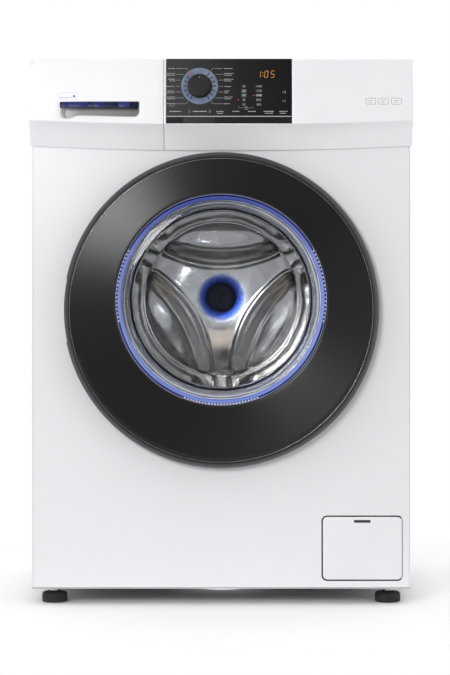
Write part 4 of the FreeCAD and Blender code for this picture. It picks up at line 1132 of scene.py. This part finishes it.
def make_window_prints():
    # leader lines from the dial to the programme bars, with bars of uneven length
    bm = bmesh.new()
    bars = bmesh.new()
    widths = (13.0, 15.5, 14.0, 11.0, 8.0, 13.5, 9.0)
    for side in (-1, 1):
        for i, level in enumerate(LEADERS):
            angle = side * (36 + 18 * i)
            start = spot(angle, 30.2)
            end_x = DIAL_X + side * 36.5
            points = [start, (start[0] + side * abs(level - start[1]) * 0.9, level), (end_x, level)]
            if side * (points[1][0] - end_x) > 0:
                points = [start, (end_x, level)]
            ink(bm, points, 0.42)
            x0 = end_x + side * 1.4
            x1 = x0 + side * (widths[i] if side > 0 else widths[-1 - i] + 3.0)
            for lift_z in (1.35, -1.35) if i % 3 else (0.0,):
                short = x0 + (x1 - x0) * (0.8 if lift_z < 0 else 1.0)
                dashes(bars, min(x0, short), max(x0, short), level + lift_z, 0.5)
    add_print("dial_leader_lines", bm, PRINT_LINE)

    # label bars over the keys, arcs beside the middle one, and a pale line over the key strip
    level = 767.0
    for x0, x1 in ((-80.0, -62.5), (-44.0, -22.5), (-7.5, 3.5), (17.5, 28.0), (42.0, 54.0),
                   (66.0, 82.0), (90.0, 103.0)):
        dashes(bars, x0, x1, level, 0.7)
    for x0, x1 in ((-6.5, 2.5), (68.0, 80.0), (91.0, 101.0)):
        dashes(bars, x0, x1, level - 2.9, 0.6)
    add_print("window_label_bars", bars, PRINT_LABEL)
    bm = bmesh.new()
    print_box(bm, WINDOW.x0 + 1.2, 758.6, WINDOW.x1 - 0.8, 760.0, GLASS_LIFT, 0.2)
    for side in (-1, 1):
        for reach in (1.8, 3.3):
            points = [(DIAL_X + side * (13.5 + reach * math.cos(math.radians(turn))),
                       level + reach * math.sin(math.radians(turn)))
                      for turn in range(-50, 51, 20)]
            ink(bm, points, 0.35)
    # care iron: a small outline at the lower left
    ink(bm, [(-81.0, 775.5), (-72.5, 775.5), (-72.5, 779.2), (-77.6, 779.2)], 0.5, closed=True)
    # bracket with a key lock sign between the two scales
    ink(bm, [(27.0, 776.0), (27.0, 772.6), (50.0, 772.6), (50.0, 776.0)], 0.3)
    ink(bm, [(37.0, 770.0), (41.0, 770.0), (41.0, 773.0), (37.0, 773.0)], 0.45, closed=True)
    ink(bm, [(37.8, 773.0), (37.8, 774.6), (40.2, 774.6), (40.2, 773.0)], 0.4)
    add_print("window_rule_lines", bm, PRINT_LINE)

    rows = (806.0, 799.0, 792.0, 785.0, 777.6)
    warm = [(text, 35.2, z) for text, z in zip(("90", "60", "40", "30", "20"), rows)]
    spin = [(text, 58.2, z) for text, z in zip(("1400", "1200", "1000", "800", "400"), rows)]
    bright = (warm[1], warm[2], spin[2])
    add_numbers("scale_numbers", [row for row in warm + spin if row not in bright], PRINT_DIM, 0.04)
    add_numbers("scale_numbers_lit", bright, PRINT_LABEL, 0.06)
    add_numbers("rinse_numbers", [("+2", 97.5, 797.0), ("+1", 97.5, 783.0)], PRINT_DIM, 0.03, 4.2)
    bm = bmesh.new()
    for z in rows[1:3]:
        ink(bm, rounded(31.2, z - 2.5, 39.2, z + 2.5, 0.5, 2), 0.25, closed=True)
    add_print("scale_frames", bm, PRINT_DIM)
    bm = bmesh.new()
    for tip, z in ((28.2, rows[3]), (51.6, rows[2])):
        print_plate(bm, [(tip, z), (tip - 2.4, z + 1.3), (tip - 2.4, z - 1.3)], GLASS_LIFT, 0.2)
    add_print("scale_arrows", bm, DASH_RED)

    bm = bmesh.new()
    middle = 825.2
    for digit, x in (("1", 58.6), ("0", 70.0), ("5", 79.8)):
        seven_segments(bm, digit, x, middle)
    for z in (middle + 2.2, middle - 2.2):
        disc(bm, 64.6 + 0.1 * (z - middle), z, 0.7, GLASS_LIFT, 0.2, 12)
    add_print("time_digits", bm, AMBER)


def make_keys():
    """Real keys with flat faces and softened edges; each rides on its own body."""
    for key in KEYS:
        cap = Box(key)
        outline = rounded(cap.x0, cap.z0, cap.x1, cap.z1, 0.5, 3)
        piece(key + "_cap", key, KEY_BLACK, (print_plate, outline, 0.55, 3.75),
              slot="black_gloss", replaces=(key,), bevel=0.3, sharp=12)


# painted reflection: the window's colour runs from dark grey at its left end to near black at its
# right
WINDOW_PAINTED_REFLECTION = gradient("window_painted_reflection", WINDOW.x0, WINDOW.x1,
                        ((0.0, grey(0.04)), (0.3, grey(0.026)), (0.6, grey(0.009)),
                         (1.0, grey(0.003))), (0.32, 0.4), Specular_IOR_Level=0.14)
KEY_BLACK = surface("key_black", grey(0.006), grey(0.009), 30, (0.3, 0.36), (1200, 0.05, 0.00005),
                    Specular_IOR_Level=0.18)
PRINT_LABEL = surface("print_label", grey(0.36), grey(0.48), 300, (0.4, 0.5),
                      Emission_Color=(1, 1, 1, 1), Emission_Strength=0.04)
DASH_NAVY = surface("dash_navy", (0.004, 0.006, 0.03), (0.008, 0.012, 0.05), 200, (0.3, 0.4))
DASH_RED = surface("dash_red", (0.36, 0.04, 0.05), (0.46, 0.06, 0.06), 200, (0.3, 0.4),
                   Emission_Color=(0.6, 0.02, 0.02, 1), Emission_Strength=0.06)
KNOB_BLACK = surface("knob_black", grey(0.010), grey(0.016), 30, (0.4, 0.46), (1200, 0.1, 0.00005),
                     Specular_IOR_Level=0.2)
PRINT_DIM = surface("print_dim", grey(0.2), grey(0.26), 300, (0.4, 0.5),
                    Emission_Color=(0.8, 0.85, 1, 1), Emission_Strength=0.03)
PRINT_LINE = surface("print_line", grey(0.34), grey(0.42), 300, (0.4, 0.5))
AMBER = surface("amber_digits", (0.3, 0.12, 0.02), (0.42, 0.18, 0.03), 200, (0.3, 0.4),
                Emission_Color=(1.0, 0.36, 0.05, 1), Emission_Strength=0.3)
make_window_face()
make_dial()
make_window_prints()
make_keys()


# ---------------------------------------------------------------- flap, feet, worktop and rear

def stacked(bm, profile, count, cx, cy, closed=False, caps=True):
    """A profile of (radius, z) turned about an upright axis."""
    loops = [[(x, y, z) for x, _, y in circle(radius, 0.0, count, cx, cy)]
             for radius, z in profile]
    rings(bm, loops, closed=closed, caps=caps and not closed)


def make_flap():
    outline = rounded(FLAP.x0, FLAP.z0, FLAP.x1, FLAP.z1, 7.0, 8)
    item = piece("service_flap_panel", "flap", "white_plastic", (plate, outline, FLAP.y0, FLAP.y1),
                 replaces=("filter_flap",), bevel=0.5)
    cutter = bmesh.new()
    plate(cutter, rounded(207.0, 127.2, 233.4, 131.6, 2.1), FLAP.y0 - 3, FLAP.y1 + 3)
    carve(item, cutter)
    smooth(item, 25)
    # a near-black plate behind the slot stands for the shade inside it: painted shade
    shade_plate = rounded(206.2, 126.4, 234.2, 132.4, 2.6)
    piece("flap_slot_painted_shade", "flap", SLOT_PAINTED_SHADE, (plate, shade_plate, FLAP.y1 - 0.5, FLAP.y1 + 0.9),
          slot="grey_plastic")


def make_feet():
    feet = Box("levelling_feet")
    stem_top = feet.z1
    bm = bmesh.new()
    metal = bmesh.new()
    for x in (feet.x0 + 20, feet.x1 - 20):
        for y in (feet.y0 + 20, feet.y1 - 20):
            profile = [(0.0, 0.0), (18.2, 0.0), (19.4, 0.8), (20.0, 2.0)]
            for rib in range(4):
                z = 2.4 + rib * 2.6
                profile += [(20.0, z), (20.0, z + 1.6), (19.2, z + 1.9), (19.2, z + 2.3)]
            profile += [(19.6, 13.2), (18.0, 15.2), (15.0, 16.0), (0.0, 16.0)]
            stacked(bm, profile, 64, x, y, caps=False)
            hexagon = [(8.2, 17.2), (9.0, 18.0), (9.0, 22.0), (8.2, 22.8)]
            stacked(metal, hexagon, 6, x, y)
            thread = [(4.2, 16.0)]
            z = 16.2
            while z < stem_top - 0.7:
                thread += [(4.3, z), (5.0, z + 0.35), (4.3, z + 0.7)]
                z += 0.9
            thread.append((4.3, stem_top))
            stacked(metal, thread, 24, x, y)
    add_piece("foot_pads", "cabinet", bm, "foot_rubber", replaces=("levelling_feet",), sharp=50)
    add_piece("foot_stems", "cabinet", metal, "bright_steel", sharp=30)


def make_worktop():
    piece("worktop_rim", "cabinet", "white_plastic",
          (box, (TOP.x0, TOP.y0, TOP.z0), (TOP.x1, TOP.y1, TOP.z1 - 0.6)),
          slot="worktop_laminate", replaces=("worktop",), bevel=2.4, sharp=25)
    piece("worktop_board", "cabinet", "worktop_laminate",
          (box, (TOP.x0 + 9, TOP.y0 + 9, TOP.z0 + 6), (TOP.x1 - 9, TOP.y1 - 9, TOP.z1)),
          bevel=0.6, sharp=25)


COVER_SCREW_R = 221.0
INLET_X, INLET_Z = -200.0, 783.0
SUMP_X, SUMP_Y = 140, -130
DRAIN_X, DRAIN_Z = 264, 735
RISER_X, RISER_Y = 281, -150


def make_rear():
    face = REAR.y1
    # pressed cover: a stepped dish with a rolled edge
    cover = Box("rear_cover")
    z = cover.cz
    reach = (cover.x1 - cover.x0) / 2
    deep = cover.y1 - 1.0
    profile = [(reach, face), (reach, face + 1.2), (214.0, face + 1.3), (208.0, face + 4.5),
               (203.0, deep - 1.5), (199.0, deep)]
    for radius in (170.0, 130.0, 90.0, 50.0):
        profile += [(radius + 9, deep), (radius + 5, deep - 3.2), (radius - 5, deep - 3.2),
                    (radius - 9, deep)]
    profile += [(20.0, deep), (0.0, deep), (0.0, deep - 4.2), (199.0, deep - 4.2),
                (209.0, face)]
    piece("rear_cover_dish", "cabinet", "galvanised", (lathe, profile, 144, 0.0, z),
          replaces=("rear_cover",), sharp=40)

    screws = [(x, level, face + 1.1) for x, y, level in
              circle(COVER_SCREW_R, 0.0, 8, 0.0, z, 22.5)]
    screws += [(side * (REAR.x1 - 8.0), level, face - 0.2) for side in (-1, 1)
               for level in (45.0, 200.0, 420.0, 640.0, 810.0)]
    screws += [(x, 38.0, face - 0.2) for x in (-180.0, -60.0, 60.0, 180.0)]
    piece("rear_screws", "cabinet", "bright_steel", *((screw, *place) for place in screws), sharp=40)

    # moulded caps in the four transit holes
    cap = offset(0.0, face, ((17.0, -0.2), (17.0, 1.6), (16.0, 2.4), (11.0, 2.6), (10.0, 1.2),
                             (3.5, 1.2), (3.0, 2.8), (0.0, 2.8), (0.0, -0.2)))
    piece("transit_caps", "cabinet", "grey_plastic",
          *((lathe, cap, 40, x, level, False) for x in (-235.0, 235.0)
            for level in (170.0, 690.0)), sharp=40)

    # pressed vents, hooded over black plates that stand for their openings as painted shade, and two
    # stiffening beads
    hoods = bmesh.new()
    slots = bmesh.new()
    for column in (-1, 1):
        for row in range(5):
            level = 712.0 + 16.0 * row
            x0 = -40.0 + column * 52.0
            rings(hoods, [[(x, face - 0.2, level + 7.0), (x, face + 3.2, level + 1.2),
                           (x, face + 3.4, level), (x, face + 2.4, level),
                           (x, face - 0.2, level + 5)]
                          for x in (x0 - 20.0, x0 + 20.0)], caps=True)
            plate(slots, rounded(x0 - 20.0, level - 1.0, x0 + 20.0, level + 5.0, 1.5), face - 0.3,
                  face + 0.15)
    add_piece("rear_vent_hoods", "cabinet", hoods, "galvanised", sharp=35)
    add_piece("rear_vent_painted_shade", "cabinet", slots, "black_plastic")
    piece("rear_panel_beads", "cabinet", "galvanised",
          *((plate, rounded(x - 5.0, 232.0, x + 5.0, 640.0, 4.9, 8), face - 0.3, face + 1.8)
            for x in (-252.0, 252.0)), bevel=0.8, sharp=50)

    # round sleeve on the fill thread, with real thread turns, and a filter mesh seat crossed by bars
    # in its mouth
    valve = Box("inlet_valve")
    y = face + 2.2
    profile = [(9.2, face + 2.0), (12.4, y)]
    while y < valve.y1 - 1.4:
        profile += [(12.4, y), (13.1, y + 0.6), (12.4, y + 1.2)]
        y += 1.6
    profile += [(12.3, valve.y1 - 0.4), (11.6, valve.y1), (9.4, valve.y1)]
    piece("inlet_thread_turns", "cabinet", "pump_plastic", (lathe, profile, 64, INLET_X, INLET_Z),
          sharp=50)
    seat = offset(0.0, face, ((9.1, 8.0), (9.1, 9.0), (2.0, 9.4), (2.0, 9.0), (8.6, 8.2)))
    ends = circle(9.0, face + 8.8, 12, INLET_X, INLET_Z)
    piece("inlet_filter_mesh", "cabinet", "bright_steel", (lathe, seat, 40, INLET_X, INLET_Z),
          *((tube, [ends[i + 6], ends[i]], 0.35, 6) for i in range(6)), sharp=40)


# ---------------------------------------------------------------- springs and hoses

def bent(points, bends, pitch):
    """Evenly spaced points along straight runs joined by curved bends."""
    steps = 14
    corners = [Vector(point) for point in points]
    path = [corners[0]]
    for i, bend in enumerate(bends, start=1):
        before = (corners[i] - corners[i - 1]).normalized()
        after = (corners[i + 1] - corners[i]).normalized()
        reach = bend * math.tan(before.angle(after) / 2)
        entry, leave = corners[i] - before * reach, corners[i] + after * reach
        for k in range(steps + 1):
            t = k / steps
            path.append(entry * (1 - t) ** 2 + corners[i] * 2 * t * (1 - t) + leave * t * t)
    path.append(corners[-1])
    even = [path[0]]
    left = pitch
    for start, end in zip(path, path[1:]):
        length = (end - start).length
        done = 0.0
        while length - done >= left:
            done += left
            even.append(start.lerp(end, done / length))
            left = pitch
        left -= length - done
    return even


def ribbed(bm, path, radius, depth, pitch, step, count):
    """A hose whose wall swells and narrows once each pitch."""
    total = (len(path) - 1) * step
    tube(bm, path, lambda share: radius - depth * (0.5 - 0.5 * math.cos(
        2 * math.pi * share * total / pitch)), count)


def make_springs():
    coils = Box("suspension_springs")
    bm = bmesh.new()
    turns, wire = 24, 1.5
    low, high = coils.z0 + wire, coils.z1 - wire
    reach = (coils.y1 - coils.y0) / 2 - wire
    for x in (coils.x0 + 9.0, coils.x1 - 9.0):
        path = []
        for i in range(turns * 14 + 1):
            share = i / (turns * 14)
            eased = share + 0.02 * math.sin(2 * math.pi * share)
            angle = 2 * math.pi * turns * share
            path.append((x + reach * math.cos(angle), coils.cy + reach * math.sin(angle),
                         low + (high - low) * eased))
        tube(bm, path, wire, 8)
    item = add_piece("suspension_coils", None, bm, "bright_steel", sharp=60)
    blended(item, "suspension_springs")


def make_hoses():
    drop = Box("dispenser_hose")
    profile = [(20.9, drop.z0), (20.9, drop.z0 + 7)]
    z = drop.z0 + 8
    while z < drop.z1 - 10:
        profile += [(18.8, z), (19.0, z + 1.6), (20.9, z + 3.0), (20.9, z + 4.0)]
        z += 5.6
    profile += [(20.9, drop.z1 - 7), (20.9, drop.z1), (18.1, drop.z1), (18.1, drop.z0)]
    item = piece("dispenser_bellows", None, "hose_rubber",
                 (stacked, profile, 64, drop.cx, drop.cy, True), sharp=60)
    blended(item, "dispenser_hose")

    path = bent(((SUMP_X, SUMP_Y, 201), (SUMP_X, SUMP_Y, 88), (182, SUMP_Y, 88)), (34,), pitch=1.5)
    item = piece("sump_bellows", None, "hose_rubber", (ribbed, path, 15.4, 1.8, 9.0, 1.5, 24),
                 sharp=60)
    blended(item, "sump_hose")

    drain = Box("drain_hose")
    end_y = drain.y1
    path = bent(((262, RISER_Y, 96), (RISER_X, RISER_Y, 96), (RISER_X, RISER_Y, DRAIN_Z),
                 (DRAIN_X, 60, DRAIN_Z), (DRAIN_X, end_y - 10, DRAIN_Z)), (17, 40, 200), pitch=1.0)
    piece("drain_hose_ribbed", "cabinet", "pump_plastic", (ribbed, path, 9.9, 1.3, 5.0, 1.0, 16),
          slot=SLOT_OF["drain_hose"], replaces=("drain_hose",), sharp=60)
    barbs = ((8.1, -10), (10.0, -10), (10.4, -9), (10.4, -6.5), (9.4, -6), (10.4, -4), (9.4, -3.4),
             (10.4, -1.4), (9.6, 0), (8.1, 0))
    piece("drain_spigot_barbs", "cabinet", "grey_plastic",
          (lathe, offset(0.0, end_y, barbs), 48, DRAIN_X, DRAIN_Z), slot=SLOT_OF["drain_hose"],
          sharp=45)


# near-black finish of the plate behind the flap's slot: painted shade
SLOT_PAINTED_SHADE = surface("slot_painted_shade", grey(0.03), grey(0.05), 40, (0.5, 0.6))
make_flap()
make_feet()
make_worktop()
make_rear()
make_springs()
make_hoses()


# ---------------------------------------------------------------- floor, light and camera

FLOOR_R = 1.35


def make_stage():
    """A pale round floor that fades into the white air towards its edge."""
    bm = bmesh.new()
    rings(bm, [circle(0.05 + FLOOR_R * i / 12, 0.0, 96, cz=0.0) for i in range(13)])
    for vert in bm.verts:
        vert.co = Vector((vert.co.x, vert.co.z, 0.0))
    mesh = bpy.data.meshes.new("studio_floor")
    bm.to_mesh(mesh)
    bm.free()
    floor = bpy.data.objects.new("studio_floor", mesh)
    bpy.context.scene.collection.objects.link(floor)
    material = surface("studio_floor", grey(0.9), grey(0.92), 2, (0.7, 0.8))
    tree = material.node_tree
    reach = node(tree, "VectorMath", [(0, object_coordinates(tree))])
    reach.operation = "LENGTH"
    mix_into(tree, spread(tree, reach.outputs["Value"], 0.0, 1.0, 0.30, 0.80),
             tree.nodes["Principled BSDF"], node(tree, "BsdfTransparent"), "Material Output")
    mesh.materials.append(material)


def make_world():
    """White air for the camera; the light of the air fades towards the front."""
    world = bpy.data.worlds.new("studio")
    bpy.context.scene.world = world
    world.use_nodes = True
    tree = world.node_tree
    air = tree.nodes["Background"]
    air.inputs["Color"].default_value = (1, 1, 1, 1)
    split = node(tree, "SeparateXYZ", [(0, node(tree, "TexCoord").outputs["Generated"])])
    tree.links.new(spread(tree, split.outputs["Y"], 0.1, 1.14, -1.0, -0.36), air.inputs["Strength"])
    bright = node(tree, "Background", Color=(1, 1, 1, 1), Strength=1.0)
    mix_into(tree, node(tree, "LightPath").outputs["Is Camera Ray"], air, bright, "World Output")


def area_light(name, place, target, size, power, colour=(1, 1, 1)):
    """A softbox at a place in metres that faces a target."""
    light = bpy.data.lights.new(name, "AREA")
    light.shape = "RECTANGLE"
    light.size, light.size_y = size
    light.energy = power
    light.color = colour
    item = bpy.data.objects.new(name, light)
    bpy.context.scene.collection.objects.link(item)
    item.location = place
    way = Vector(target) - Vector(place)
    item.rotation_mode = "QUATERNION"
    item.rotation_quaternion = way.to_track_quat("-Z", "Y")
    item.visible_camera = False
    return item


def make_lights():
    middle = (0.0, 0.0, 0.45)
    area_light("softbox_left", (-0.97, -2.97, 1.28), middle, (0.8, 0.8), 39)
    area_light("softbox_right", (2.6, -2.4, 1.1), middle, (0.9, 1.8), 7)
    axis_height = AXIS_Z * MM
    drum_lamp = area_light("drum_lamp", (0.0, -0.11, axis_height + 0.05),
                           (0.0, 0.1, axis_height - 0.05), (0.34, 0.2), 0.058, (0.94, 0.96, 1.0))
    drum_lamp.data.use_shadow = False
    arm_lamp = area_light("drum_arm_lamp", (0.0, -0.11, 0.386), (0.0, 0.1, 0.38), (0.06, 0.075),
                          0.008, (1.0, 0.87, 0.74))
    arm_lamp.data.use_shadow = False


# the view: how much height it shows at the fascia's depth, and its middle, in metres
FASCIA_DEPTH = -0.238
VIEW_HEIGHT = 1.045863
VIEW_MIDDLE = 0.417
CAMERA_DISTANCE = 3.5
CAMERA_HEIGHT = 0.52


def make_camera():
    camera = bpy.data.cameras.new("camera")
    item = bpy.data.objects.new("camera", camera)
    bpy.context.scene.collection.objects.link(item)
    camera.sensor_width = 36.0
    camera.lens = camera.sensor_width * CAMERA_DISTANCE / VIEW_HEIGHT
    camera.shift_y = (VIEW_MIDDLE - CAMERA_HEIGHT) / VIEW_HEIGHT
    item.location = (0.006, FASCIA_DEPTH - CAMERA_DISTANCE, CAMERA_HEIGHT)
    item.rotation_euler = (math.radians(90), 0, 0)
    bpy.context.scene.camera = item


make_stage()
make_world()
make_lights()
make_camera()
bpy.context.scene.view_settings.view_transform = "Standard"
